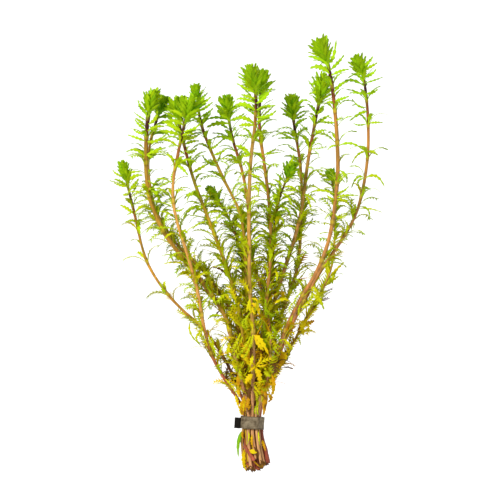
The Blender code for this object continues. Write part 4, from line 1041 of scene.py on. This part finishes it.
def draw_strip(settings):
    """The CAD strip's outline with rounded edges, small dents and a slack surface."""
    start_clean()
    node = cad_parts["lead_strip"]
    strip = bpy.data.objects.new("lead_band", node.data.copy())
    bpy.context.scene.collection.objects.link(strip)
    bpy.context.view_layer.objects.active = strip
    strip.select_set(True)
    bpy.ops.object.mode_set(mode="EDIT")
    bpy.ops.mesh.select_all(action="SELECT")
    bpy.ops.mesh.remove_doubles(threshold=SAME_PLACE)
    bpy.ops.mesh.tris_convert_to_quads(face_threshold=math.radians(20.0),
                                       shape_threshold=math.radians(60.0))
    bpy.ops.mesh.normals_make_consistent(inside=False)
    bpy.ops.mesh.subdivide(number_cuts=5)
    bpy.ops.object.mode_set(mode="OBJECT")
    rounding = strip.modifiers.new("rounding", "BEVEL")
    rounding.width = settings.edge_rounding
    rounding.segments = 2
    rounding.limit_method = "ANGLE"
    rounding.angle_limit = math.radians(50.0)
    bpy.ops.object.modifier_apply(modifier="rounding")
    rng = random.Random(DENT_SEED)
    dents = [(Vector((rng.uniform(-8, 8), rng.uniform(-4, 4), rng.uniform(0, 12))) * MM,
              rng.uniform(0.8, 2.2) * MM, rng.uniform(-0.10, 0.08) * MM) for _ in range(DENTS)]
    for v in strip.data.vertices:
        shift = sum(depth * math.exp(-((v.co - spot).length / size) ** 2)
                    for spot, size, depth in dents)
        v.co += v.normal * shift
        v.co.z = max(v.co.z, 0.0)
    bpy.ops.object.shade_smooth_by_angle(angle=math.radians(40.0))
    return strip


# Materials


class Wiring:
    """Adds nodes to a shader tree and joins them."""

    def __init__(self, tree):
        self.tree = tree

    def add(self, kind, **settings):
        node = self.tree.nodes.new(kind)
        for key, value in settings.items():
            setattr(node, key, value)
        return node

    def feed(self, socket, value):
        if isinstance(value, bpy.types.NodeSocket):
            self.tree.links.new(value, socket)
        else:
            socket.default_value = value

    def value(self, attribute):
        return self.add("ShaderNodeAttribute", attribute_name=attribute).outputs["Fac"]

    def sum_of(self, operation, first, second=0.0, third=0.0, clamp=False):
        node = self.add("ShaderNodeMath", operation=operation, use_clamp=clamp)
        for socket, value in zip(node.inputs, (first, second, third)):
            self.feed(socket, value)
        return node.outputs[0]

    def spread(self, value, low, high, to_low=0.0, to_high=1.0):
        node = self.add("ShaderNodeMapRange", interpolation_type="SMOOTHSTEP")
        self.feed(node.inputs["Value"], value)
        for label, number in (("From Min", low), ("From Max", high),
                              ("To Min", to_low), ("To Max", to_high)):
            node.inputs[label].default_value = number
        return node.outputs["Result"]

    def blend(self, factor, first, second, mode="MIX"):
        node = self.add("ShaderNodeMix", data_type="RGBA", blend_type=mode)
        self.feed(node.inputs[0], factor)
        self.feed(node.inputs[6], first)
        self.feed(node.inputs[7], second)
        return node.outputs[2]

    def dim(self, colour, light):
        """The colour multiplied by a grey light."""
        level = self.add("ShaderNodeCombineColor")
        for label in ("Red", "Green", "Blue"):
            self.feed(level.inputs[label], light)
        return self.blend(1.0, colour, level.outputs[0], "MULTIPLY")

    def ramp(self, value, stops):
        node = self.add("ShaderNodeValToRGB")
        self.feed(node.inputs["Fac"], value)
        elements = node.color_ramp.elements
        while len(elements) < len(stops):
            elements.new(0.5)
        for element, (position, colour) in zip(elements, stops):
            element.position = position
            element.color = solid(colour)
        return node.outputs["Color"]


def solid(colour):
    """A setting's colour with its full alpha."""
    return (colour[0], colour[1], colour[2], 1.0)


def mottle_group():
    """Uneven patches and fine grain in object space, shared by leaves, stems and lead."""
    group = bpy.data.node_groups.get("mottle")
    if group:
        return group
    group = bpy.data.node_groups.new("mottle", "ShaderNodeTree")
    for label, default in (("Patch Scale", 300.0), ("Grain Scale", 1500.0), ("Stretch", 1.0)):
        socket = group.interface.new_socket(label, in_out="INPUT", socket_type="NodeSocketFloat")
        socket.default_value = default
    for label in ("Patches", "Grain"):
        group.interface.new_socket(label, in_out="OUTPUT", socket_type="NodeSocketFloat")
    wires = Wiring(group)
    source = wires.add("NodeGroupInput")
    result = wires.add("NodeGroupOutput")
    place = wires.add("ShaderNodeTexCoord").outputs["Object"]
    squeeze = wires.add("ShaderNodeCombineXYZ")
    squeeze.inputs["X"].default_value = 1.0
    squeeze.inputs["Z"].default_value = 1.0
    wires.feed(squeeze.inputs["Y"], source.outputs["Stretch"])
    scaled = wires.add("ShaderNodeVectorMath", operation="MULTIPLY")
    wires.feed(scaled.inputs[0], place)
    wires.feed(scaled.inputs[1], squeeze.outputs[0])
    for label, scale, detail in (("Patches", "Patch Scale", 3.0), ("Grain", "Grain Scale", 2.0)):
        noise = wires.add("ShaderNodeTexNoise")
        noise.inputs["Detail"].default_value = detail
        wires.feed(noise.inputs["Vector"], scaled.outputs[0])
        wires.feed(noise.inputs["Scale"], source.outputs[scale])
        wires.feed(result.inputs[label], noise.outputs["Fac"])
    return group


def begin_material(name, patch_scale, grain_scale, stretch=1.0):
    """A new material with the mottle in it, ready to be wired."""
    material = bpy.data.materials.new(name)
    material.use_nodes = True
    wires = Wiring(material.node_tree)
    mottle = wires.add("ShaderNodeGroup", node_tree=mottle_group())
    mottle.inputs["Patch Scale"].default_value = patch_scale
    mottle.inputs["Grain Scale"].default_value = grain_scale
    mottle.inputs["Stretch"].default_value = stretch
    shader = material.node_tree.nodes["Principled BSDF"]
    return material, wires, mottle, shader


def set_relief(wires, shader, height, depth):
    """Raise the surface by this depth where the height is 1."""
    bump = wires.add("ShaderNodeBump")
    bump.inputs["Strength"].default_value = 1.0
    bump.inputs["Distance"].default_value = depth
    wires.feed(bump.inputs["Height"], height)
    wires.feed(shader.inputs["Normal"], bump.outputs["Normal"])


def leaf_material(settings):
    """Green blades that turn yellow with age, with a pale rib and darker tips, and painted shade
    on the dark leaves and towards each blade's edges.
    """
    found = bpy.data.materials.get("feather_leaf")
    if found:
        return found
    material, wires, mottle, shader = begin_material("feather_leaf", patch_scale=250.0,
                                                     grain_scale=2200.0)
    age = wires.sum_of("ADD", wires.value("age"),
                       wires.spread(mottle.outputs["Patches"], 0.3, 0.7, -0.07, 0.07))
    age = wires.sum_of("DIVIDE", age, 1.4)
    green = wires.ramp(age, ((0.0, settings.young_green), (0.30, settings.grown_green),
                             (0.52, settings.old_green), (0.68, settings.yellow),
                             (0.80, settings.golden), (0.92, settings.brown)))
    # Painted shade: the shade colour is multiplied in by each leaf's value, which holds its
    # shoot's painted shade and a random spread of its own tone.
    shade_and_tone = wires.spread(wires.value("shade_and_tone"), 0.0, 1.0)
    green = wires.blend(shade_and_tone, green, wires.blend(1.0, green, solid(settings.shade), "MULTIPLY"))
    along = wires.value("along")
    fresh = wires.spread(age, 0.45, 0.62, 1.0, 0.0)
    tip = wires.spread(along, 0.6, 1.0, 0.0, settings.tip_darkness)
    green = wires.blend(wires.sum_of("MULTIPLY", tip, fresh), green, solid(settings.tip_green))
    across = wires.sum_of("ABSOLUTE", wires.value("across"))
    rib = wires.sum_of("MULTIPLY", wires.spread(across, 0.45, 0.0, 0.0, 0.35), fresh)
    green = wires.blend(rib, green, solid(settings.rib_green))
    # Painted shade: each blade darkens towards its edges, as shade between neighbouring leaves.
    rim = wires.sum_of("MULTIPLY", wires.spread(across, 0.45, 1.0, 0.0, 0.45), fresh)
    green = wires.blend(rim, green, solid(settings.tip_green))
    light = wires.spread(mottle.outputs["Grain"], 0.25, 0.75, 0.82, 1.16)
    green = wires.dim(green, light)
    wires.feed(shader.inputs["Base Color"], green)
    wires.feed(shader.inputs["Roughness"],
               wires.spread(mottle.outputs["Grain"], 0.2, 0.8, 0.42, 0.62))
    shader.inputs["Specular IOR Level"].default_value = 0.06
    veins = wires.sum_of("SINE", wires.sum_of("MULTIPLY", along, 90.0))
    height = wires.sum_of("ADD", wires.sum_of("MULTIPLY", veins, 0.25), mottle.outputs["Grain"])
    set_relief(wires, shader, height, depth=0.00006)
    return material


def stem_material(settings):
    """Dark red under the crown, then red-brown and tan, with yellow-green collars and, near the
    strip, each stem's own tone."""
    material, wires, mottle, shader = begin_material("feather_stem", patch_scale=160.0,
                                                     grain_scale=1400.0, stretch=0.12)
    place = wires.sum_of("DIVIDE", wires.value("from_crown"), 200.0)
    patches = wires.spread(mottle.outputs["Patches"], 0.3, 0.7, -0.035, 0.035)
    place = wires.sum_of("ADD", place, patches, clamp=True)
    red = wires.ramp(place, ((0.0, settings.green_top), (0.03, settings.dark_red),
                             (0.075, settings.dark_red), (0.13, settings.red_brown),
                             (0.22, settings.tan), (0.5, settings.orange),
                             (0.9, settings.low_red)))
    pale = wires.sum_of("MULTIPLY", wires.value("pale"),
                        wires.spread(place, 0.05, 0.25, 0.0, 0.9))
    red = wires.blend(pale, red, solid(settings.pale_tan))
    olive = wires.spread(mottle.outputs["Patches"], 0.5, 0.72, 0.0, 0.4)
    olive = wires.sum_of("MULTIPLY_ADD", wires.value("green"), 0.7, olive, clamp=True)
    olive = wires.sum_of("MULTIPLY", olive, wires.spread(place, 0.09, 0.2))
    red = wires.blend(olive, red, solid(settings.olive))
    tone = wires.ramp(wires.value("tone"), (
        (0.0, settings.maroon), (0.25, settings.low_red), (0.5, settings.pink_tan),
        (0.75, settings.golden), (1.0, settings.olive)))
    low = wires.spread(wires.value("low"), 0.0, 0.6, 0.0, 0.9)
    red = wires.blend(low, red, tone)
    ring = wires.sum_of("MULTIPLY", wires.spread(wires.value("collar"), 0.03, 0.3),
                        wires.spread(wires.value("collar"), 0.35, 0.8, 0.6, 0.0))
    red = wires.blend(ring, red, solid(settings.ring_brown))
    collar = wires.sum_of("MULTIPLY", wires.value("collar"),
                          wires.spread(place, 0.0, 0.12, 0.1, 0.65))
    red = wires.blend(collar, red, solid(settings.collar))
    grain = wires.spread(mottle.outputs["Grain"], 0.25, 0.75, 0.72, 1.22)
    grain = wires.sum_of("MULTIPLY", grain,
                         wires.spread(mottle.outputs["Patches"], 0.32, 0.62, 1.18, 0.76))
    red = wires.dim(red, grain)
    red = wires.blend(wires.spread(wires.value("cut"), 0.2, 1.0), red, solid(settings.cut_brown))
    wires.feed(shader.inputs["Base Color"], red)
    wires.feed(shader.inputs["Roughness"],
               wires.spread(mottle.outputs["Grain"], 0.2, 0.8, 0.30, 0.52))
    shader.inputs["Specular IOR Level"].default_value = 0.25
    set_relief(wires, shader, mottle.outputs["Grain"], depth=0.00012)
    return material


def lead_material(settings):
    """Dull grey lead sheet with scuffs, and a nearly black loose end, which is darker lead with
    painted shade where it lies low under the bunch.
    """
    material, wires, mottle, shader = begin_material("dull_lead", patch_scale=420.0,
                                                     grain_scale=2600.0)
    patches = mottle.outputs["Patches"]
    grain = mottle.outputs["Grain"]
    grey = wires.ramp(patches, ((0.3, settings.dark_grey), (0.5, settings.grey),
                                (0.72, settings.light_grey)))
    scuff = wires.spread(grain, 0.58, 0.75, 0.0, 0.35)
    grey = wires.blend(scuff, grey, solid(settings.light_grey))
    across = wires.add("ShaderNodeSeparateXYZ")
    wires.feed(across.inputs[0], wires.add("ShaderNodeTexCoord").outputs["Object"])
    # Painted shade: the loose end lies low under the bunch and is painted nearly black, partly
    # its darker colour and partly shade.
    loose = wires.spread(across.outputs["X"], *LOOSE_END_X, 0.0, 0.98)
    # The strip is painted darker towards its long edges.
    edge = wires.sum_of("ABSOLUTE", across.outputs["Y"])
    edge = wires.spread(edge, *DARKER_EDGE_Y, 0.0, 0.75)
    grey = wires.blend(edge, grey, solid(settings.dark_grey))
    grey = wires.blend(loose, grey, solid(settings.dark_shaded_end))
    wires.feed(shader.inputs["Base Color"], grey)
    wires.feed(shader.inputs["Roughness"], wires.spread(patches, 0.3, 0.7, 0.5, 0.72))
    wires.feed(shader.inputs["Metallic"], wires.sum_of("MULTIPLY_ADD", loose, -0.2, 0.2))
    shader.inputs["Specular IOR Level"].default_value = 0.12
    height = wires.sum_of("ADD", wires.sum_of("MULTIPLY", patches, 2.0), grain)
    set_relief(wires, shader, height, depth=0.00012)
    return material


def floor_material(settings):
    """Matt pale paper that gives off a little light, so that it stays nearly white."""
    material, wires, mottle, shader = begin_material("pale_paper", patch_scale=3.0,
                                                     grain_scale=900.0)
    light = wires.ramp(mottle.outputs["Patches"], ((0.3, settings.floor_colour),
                                                   (0.7, settings.floor_colour_far)))
    wires.feed(shader.inputs["Base Color"], light)
    wires.feed(shader.inputs["Roughness"],
               wires.spread(mottle.outputs["Grain"], 0.2, 0.8, 0.8, 0.95))
    shader.inputs["Emission Color"].default_value = (1.0, 1.0, 1.0, 1.0)
    shader.inputs["Emission Strength"].default_value = settings.floor_glow
    return material


# Stage


def draw_floor(settings):
    """A wide, flat, pale ground, widened ring by ring."""
    start_clean()
    bpy.ops.mesh.primitive_circle_add(vertices=96, radius=settings.floor_radius,
                                      fill_type="NGON", location=BUNCH_MIDDLE)
    floor = bpy.context.object
    floor.name = "pale_ground"
    bpy.ops.object.transform_apply(location=True, rotation=True, scale=True)
    bpy.ops.object.mode_set(mode="EDIT")
    bpy.ops.mesh.select_all(action="SELECT")
    for grow in (1.06, 1.06, 1.05):
        bpy.ops.mesh.extrude_region_move(TRANSFORM_OT_translate={"value": (0.0, 0.0, 0.0)})
        bpy.ops.transform.resize(value=(grow, grow, 1.0))
    bpy.ops.mesh.select_all(action="SELECT")
    bpy.ops.mesh.normals_make_consistent(inside=False)
    bpy.ops.object.mode_set(mode="OBJECT")
    return floor


def add_light(name, place, size, power, colour):
    """A round lamp that shines on the bunch."""
    bpy.ops.object.light_add(type="AREA", location=place)
    lamp = bpy.context.object
    lamp.name = name
    lamp.data.shape = "DISK"
    lamp.data.size = size
    lamp.data.energy = power
    lamp.data.color = colour
    way = Vector(BUNCH_MIDDLE) - Vector(place)
    lamp.rotation_euler = way.to_track_quat("-Z", "Y").to_euler()


def set_camera(settings):
    """Straight down, so that one photograph pixel is PIXEL_MM at the bunch's middle height."""
    middle_x = (0.5 * PHOTO_PIXELS - STRIP_PIXEL_X) * PIXEL_MM * MM
    middle_y = (STRIP_PIXEL_Y - 0.5 * PHOTO_PIXELS) * PIXEL_MM * MM
    height = settings.camera_distance + settings.focus_height
    bpy.ops.object.camera_add(location=(middle_x, middle_y, height), rotation=(0.0, 0.0, 0.0))
    camera = bpy.context.object
    camera.data.sensor_width = SENSOR_MM
    camera.data.lens = SENSOR_MM * settings.camera_distance / (PHOTO_PIXELS * PIXEL_MM * MM)
    camera.data.dof.use_dof = False
    bpy.context.scene.camera = camera


# Settings that a user would change


def length_setting(name, description, default):
    return bpy.props.FloatProperty(name=name, description=description, default=default,
                                   min=0.0, unit="LENGTH", precision=5)


def colour_setting(name, description, default):
    return bpy.props.FloatVectorProperty(name=name, description=description, default=default,
                                         size=3, min=0.0, max=1.0, subtype="COLOR")


def number_setting(name, description, default):
    return bpy.props.FloatProperty(name=name, description=description, default=default, min=0.0)


class FeatherLeafSettings(bpy.types.PropertyGroup):
    crown_length: length_setting("Crown leaf length", "Length of the model crown leaf", 0.009)
    crown_width: length_setting("Crown leaf width", "Full width of a crown leaf", 0.0031)
    strap_length: length_setting("Strap leaf length", "Length of the model strap leaf", 0.013)
    strap_width: length_setting("Strap leaf width", "Full width of a strap leaf", 0.0033)
    feather_length: length_setting("Feather leaf length", "Length of the model comb leaf", 0.015)
    feather_width: length_setting("Feather leaf width", "Full width over a comb's lobes", 0.0076)
    thickness: length_setting("Leaf thickness", "Thickness at a leaf's foot", 0.0004)
    lowest_whorl: length_setting("Lowest whorl", "First whorl's height above the strip", 0.012)
    bush_top: length_setting("Bush top", "Up to here the old leaves stand close", 0.135)
    bush_spacing: length_setting("Bush spacing", "Between whorls in the old leaves", 0.0044)
    young_green: colour_setting("Young green", "Crown leaves", (0.35, 0.64, 0.006))
    grown_green: colour_setting("Grown green", "Leaves halfway down", (0.45, 0.54, 0.003))
    old_green: colour_setting("Old green", "Leaves near the strip", (0.68, 0.60, 0.003))
    yellow: colour_setting("Yellow", "Dying leaves", (0.74, 0.51, 0.003))
    golden: colour_setting("Golden", "Leaves that dry out", (0.62, 0.31, 0.003))
    brown: colour_setting("Brown", "Dead leaves", (0.12, 0.05, 0.010))
    shade: colour_setting("Shade", "Multiplies the dark leaves", (0.36, 0.58, 0.8))
    tip_green: colour_setting("Tip green", "Leaf tips", (0.10, 0.26, 0.001))
    rib_green: colour_setting("Rib green", "Leaf ribs", (0.50, 0.66, 0.008))
    tip_darkness: number_setting("Tip darkness", "How far leaf tips darken", 0.5)


class FeatherStemSettings(bpy.types.PropertyGroup):
    ring_spacing: length_setting("Ring spacing", "Between the rings of a stem", 0.0015)
    collar_length: length_setting("Collar length", "Reach of the swelling at a whorl", 0.0012)
    cut_rim: length_setting("Cut rim", "Rim round the hollow of a cut end", 0.0002)
    collar_swelling: number_setting("Collar swelling", "Share added at a whorl", 0.22)
    green_top: colour_setting("Green top", "Stem inside the crown", (0.26, 0.40, 0.005))
    dark_red: colour_setting("Dark red", "Just below the crown", (0.055, 0.008, 0.003))
    red_brown: colour_setting("Red brown", "Below the dark part", (0.34, 0.075, 0.008))
    tan: colour_setting("Tan", "Upper half", (0.52, 0.20, 0.016))
    orange: colour_setting("Orange", "Lower half", (0.40, 0.14, 0.022))
    low_red: colour_setting("Low red", "Near the strip", (0.42, 0.10, 0.045))
    maroon: colour_setting("Maroon", "Darkest stems near the strip", (0.20, 0.035, 0.02))
    pink_tan: colour_setting("Pink tan", "Pale stems near the strip", (0.64, 0.34, 0.14))
    golden: colour_setting("Golden", "Yellow stems near the strip", (0.60, 0.36, 0.012))
    pale_tan: colour_setting("Pale tan", "Pale stems", (0.70, 0.36, 0.09))
    olive: colour_setting("Olive", "Green patches", (0.40, 0.30, 0.006))
    collar: colour_setting("Collar", "At the whorls", (0.56, 0.50, 0.006))
    ring_brown: colour_setting("Ring brown", "Beside the collars", (0.16, 0.04, 0.01))
    cut_brown: colour_setting("Cut brown", "Cut faces", (0.05, 0.015, 0.007))


class FeatherStripSettings(bpy.types.PropertyGroup):
    edge_rounding: length_setting("Edge rounding", "Radius of the strip's edges", 0.00018)
    grey: colour_setting("Grey", "Main colour", (0.20, 0.155, 0.095))
    dark_grey: colour_setting("Dark grey", "Dull patches and edges", (0.09, 0.065, 0.035))
    light_grey: colour_setting("Light grey", "Scuffs", (0.34, 0.28, 0.18))
    # The loose end's colour is partly darker lead and partly painted shade.
    dark_shaded_end: colour_setting("Loose end", "Tarnished end", (0.002, 0.002, 0.002))


class FeatherStageSettings(bpy.types.PropertyGroup):
    floor_radius: length_setting("Floor radius", "Half width of the pale ground", 3.0)
    camera_distance: length_setting("Camera distance", "From the bunch to the camera", 2.6)
    focus_height: length_setting("Middle height", "Height that the framing holds for", 0.018)
    floor_glow: number_setting("Floor glow", "Light given off by the ground", 0.25)
    window_power: number_setting("Window power", "Watts of the light from the window", 42.0)
    fill_power: number_setting("Fill power", "Watts of the light from the other side", 8.0)
    room_light: number_setting("Room light", "Strength of the soft light all round", 0.5)
    floor_colour: colour_setting("Floor", "Pale ground", (0.90, 0.90, 0.90))
    floor_colour_far: colour_setting("Floor patches", "Pale ground", (0.93, 0.93, 0.93))


SETTINGS = (("feather_leaves", FeatherLeafSettings), ("feather_stems", FeatherStemSettings),
            ("feather_strip", FeatherStripSettings), ("feather_stage", FeatherStageSettings))


# Operators


class FEATHER_OT_stems(bpy.types.Operator):
    """Draw the sixteen cut stems and the short pieces beside their cut ends"""
    bl_idname = "feather.stems"
    bl_label = "Stems"

    def execute(self, context):
        settings = context.scene.feather_stems
        material = stem_material(settings)
        for name, shoot in SHOOTS.items():
            stem = draw_stem(f"{name}_stem", shoot, settings)
            adopt(stem, material, name)
        for number, (points, radius, tone, low, name) in enumerate(STUBS, 1):
            stub = draw_stub(f"cut_piece_{number}", points, radius, tone, low, settings)
            adopt(stub, material, name)
        return {"FINISHED"}


class FEATHER_OT_leaves(bpy.types.Operator):
    """Grow the whorls of leaves along the stems"""
    bl_idname = "feather.leaves"
    bl_label = "Stem leaves"

    def execute(self, context):
        settings = context.scene.feather_leaves
        material = leaf_material(settings)
        strap = model_toothed_leaf(settings.strap_length, 0.5 * settings.strap_width,
                                   settings.thickness, teeth=4, notch=0.5, fullest=0.4)
        feather = model_feather_leaf(settings.feather_length, 0.5 * settings.feather_width,
                                     settings.thickness, lobes=5)
        blade = model_toothed_leaf(settings.strap_length, 0.5 * settings.strap_width,
                                   settings.thickness, teeth=4, notch=0.12, fullest=0.4)
        models = {"strap": (strap, settings.strap_width),
                  "feather": (feather, settings.feather_width),
                  "blade": (blade, settings.strap_width)}
        for number, (name, shoot) in enumerate(SHOOTS.items()):
            rng = random.Random(LEAF_SEED + number)
            gatherer = Gatherer()
            self.dress(shoot, gatherer, models, settings, rng)
            gatherer.finish(f"{name}_leaves", material, name)
        return {"FINISHED"}

    def dress(self, shoot, gatherer, models, settings, rng):
        """Leaves at the CAD shoot's whorls, between them, and those placed one by one."""
        look = LOOKS[shoot.name]
        for place in shoot.whorls:
            y = shoot.line.at(place)[1]
            dark = painted_shade_at(look, y)
            from_crown = (shoot.crown_places[0] - place) / MM
            used = []
            for leaf_place, base, middle, tip, across in shoot.leaves:
                if abs(leaf_place - place) < SAME_WHORL:
                    used.append(around(shoot, place, tip))
                    add_leaf(gatherer, models, (base, middle, tip), across, y, from_crown,
                             dark, rng)
            turns = [turn + math.pi / 3.0 * rng.uniform(0.85, 1.15) for turn in used]
            share = fullness_at(look, y, settings)
            turns = [turn for turn in turns if rng.random() < share * beside(turn)]
            grow_whorl(shoot, place, turns, gatherer, models, dark, rng)
        for place in between_whorls(shoot, settings):
            turn = rng.uniform(0.0, math.tau)
            y = shoot.line.at(place)[1]
            dark = painted_shade_at(look, y)
            share = fullness_at(look, y, settings)
            count = round(rng.choice((4, 5, 5, 6)) * max(1.0, share))
            turns = [turn + math.tau * n / count for n in range(count)]
            turns = [turn for turn in turns if rng.random() < share * beside(turn)]
            grow_whorl(shoot, place, turns, gatherer, models, dark, rng)
        for foot_y, *way, width, kind in STANDING_LEAVES[shoot.name]:
            place = shoot.line.length_at_y(foot_y * MM)
            foot = (shoot.line.at(place)[0] / MM, foot_y)
            age = age_at(foot_y * MM) + rng.gauss(0.0, 0.06)
            # Painted shade: a share of the shoot's darkness, with a random spread of tone.
            shade_and_tone = min(1.0, max(0.0, 0.6 * look.darkness + rng.gauss(0.05, 0.2)))
            lay_leaf(gatherer, models, shoot, (*foot, *way), width, kind, age, shade_and_tone, rng)
        for *way, width, kind, age, shade_and_tone in LOW_LEAVES:
            if nearest_shoot(way[0], way[1]) is shoot:
                lay_leaf(gatherer, models, shoot, way, width, kind, age, shade_and_tone, rng)


class FEATHER_OT_crowns(bpy.types.Operator):
    """Close each shoot's tip with rings of broad toothed leaves"""
    bl_idname = "feather.crowns"
    bl_label = "Crowns"

    def execute(self, context):
        settings = context.scene.feather_leaves
        material = leaf_material(settings)
        model = model_toothed_leaf(settings.crown_length, 0.5 * settings.crown_width,
                                   settings.thickness, teeth=4, notch=0.3, fullest=0.45)
        for number, (name, shoot) in enumerate(SHOOTS.items()):
            rng = random.Random(CROWN_SEED + number)
            gatherer = Gatherer()
            look = LOOKS[name]
            foot = shoot.crown_places[0]
            height = shoot.crown_height + look.raised * MM
            for ring, (low, high, out, width, count) in enumerate(CROWN_RINGS):
                place = min(foot + low * height, shoot.line.length)
                for leaf in range(count):
                    turn = math.tau * (leaf / count + 0.31 * ring) + rng.uniform(-0.2, 0.2)
                    path, across = crown_leaf_path(
                        shoot, place, turn, foot + high * height * rng.uniform(0.84, 1.04),
                        out * look.half_width * MM * rng.uniform(0.72, 1.15), look.lean * MM)
                    # Painted shade: the shoot's darkness with a wide random spread, painting
                    # light and shade between neighbouring crown leaves.
                    shade_and_tone = min(1.0, max(0.0, look.darkness + rng.gauss(0.0, 0.4)))
                    width *= rng.uniform(0.92, 1.06)
                    gatherer.add(model, path, across, width, rng.uniform(-0.25, 0.25),
                                 rng.uniform(0.0, 0.25), shade_and_tone)
            gatherer.finish(f"{name}_crown", material, name)
        return {"FINISHED"}


class FEATHER_OT_lead_strip(bpy.types.Operator):
    """Draw the lead strip round the tied stems, with rounded edges and small dents"""
    bl_idname = "feather.lead_strip"
    bl_label = "Lead strip"

    def execute(self, context):
        settings = context.scene.feather_strip
        strip = draw_strip(settings)
        adopt(strip, lead_material(settings), "lead_strip")
        return {"FINISHED"}


class FEATHER_OT_stage(bpy.types.Operator):
    """Lay out the pale ground, the lights and the camera"""
    bl_idname = "feather.stage"
    bl_label = "Stage"

    def execute(self, context):
        settings = context.scene.feather_stage
        floor = draw_floor(settings)
        floor.data.materials.append(floor_material(settings))
        add_light("window", (-1.1, 1.0, 1.5), 0.6, settings.window_power, (1.0, 0.99, 0.96))
        add_light("fill", (1.4, -0.4, 1.3), 1.4, settings.fill_power, (0.97, 0.98, 1.0))
        world = bpy.data.worlds.new("soft_room")
        world.use_nodes = True
        background = world.node_tree.nodes["Background"]
        background.inputs["Color"].default_value = (1.0, 1.0, 1.0, 1.0)
        background.inputs["Strength"].default_value = settings.room_light
        context.scene.world = world
        context.scene.view_settings.view_transform = "Standard"
        set_camera(settings)
        return {"FINISHED"}


OPERATORS = (FEATHER_OT_stems, FEATHER_OT_leaves, FEATHER_OT_crowns, FEATHER_OT_lead_strip,
             FEATHER_OT_stage)


class FEATHER_PT_bunch(bpy.types.Panel):
    """Lists the pieces and their settings"""
    bl_idname = "FEATHER_PT_bunch"
    bl_label = "Parrot feather bunch"
    bl_space_type = "VIEW_3D"
    bl_region_type = "UI"
    bl_category = "Bunch"

    def draw(self, context):
        for operator in OPERATORS:
            self.layout.operator(operator.bl_idname, text=operator.bl_label)
        for label, group in SETTINGS:
            box = self.layout.box()
            box.label(text=group.__name__)
            for field in group.__annotations__:
                box.prop(getattr(context.scene, label), field)


def register():
    for label, group in SETTINGS:
        bpy.utils.register_class(group)
        setattr(bpy.types.Scene, label, bpy.props.PointerProperty(type=group))
    for operator in OPERATORS:
        bpy.utils.register_class(operator)
    bpy.utils.register_class(FEATHER_PT_bunch)


def unregister():
    bpy.utils.unregister_class(FEATHER_PT_bunch)
    for operator in reversed(OPERATORS):
        bpy.utils.unregister_class(operator)
    for label, group in reversed(SETTINGS):
        delattr(bpy.types.Scene, label)
        bpy.utils.unregister_class(group)


def main():
    register()
    bpy.ops.feather.stems()
    bpy.ops.feather.leaves()
    bpy.ops.feather.crowns()
    bpy.ops.feather.lead_strip()
    bpy.ops.feather.stage()


if __name__ == "__main__":
    main()
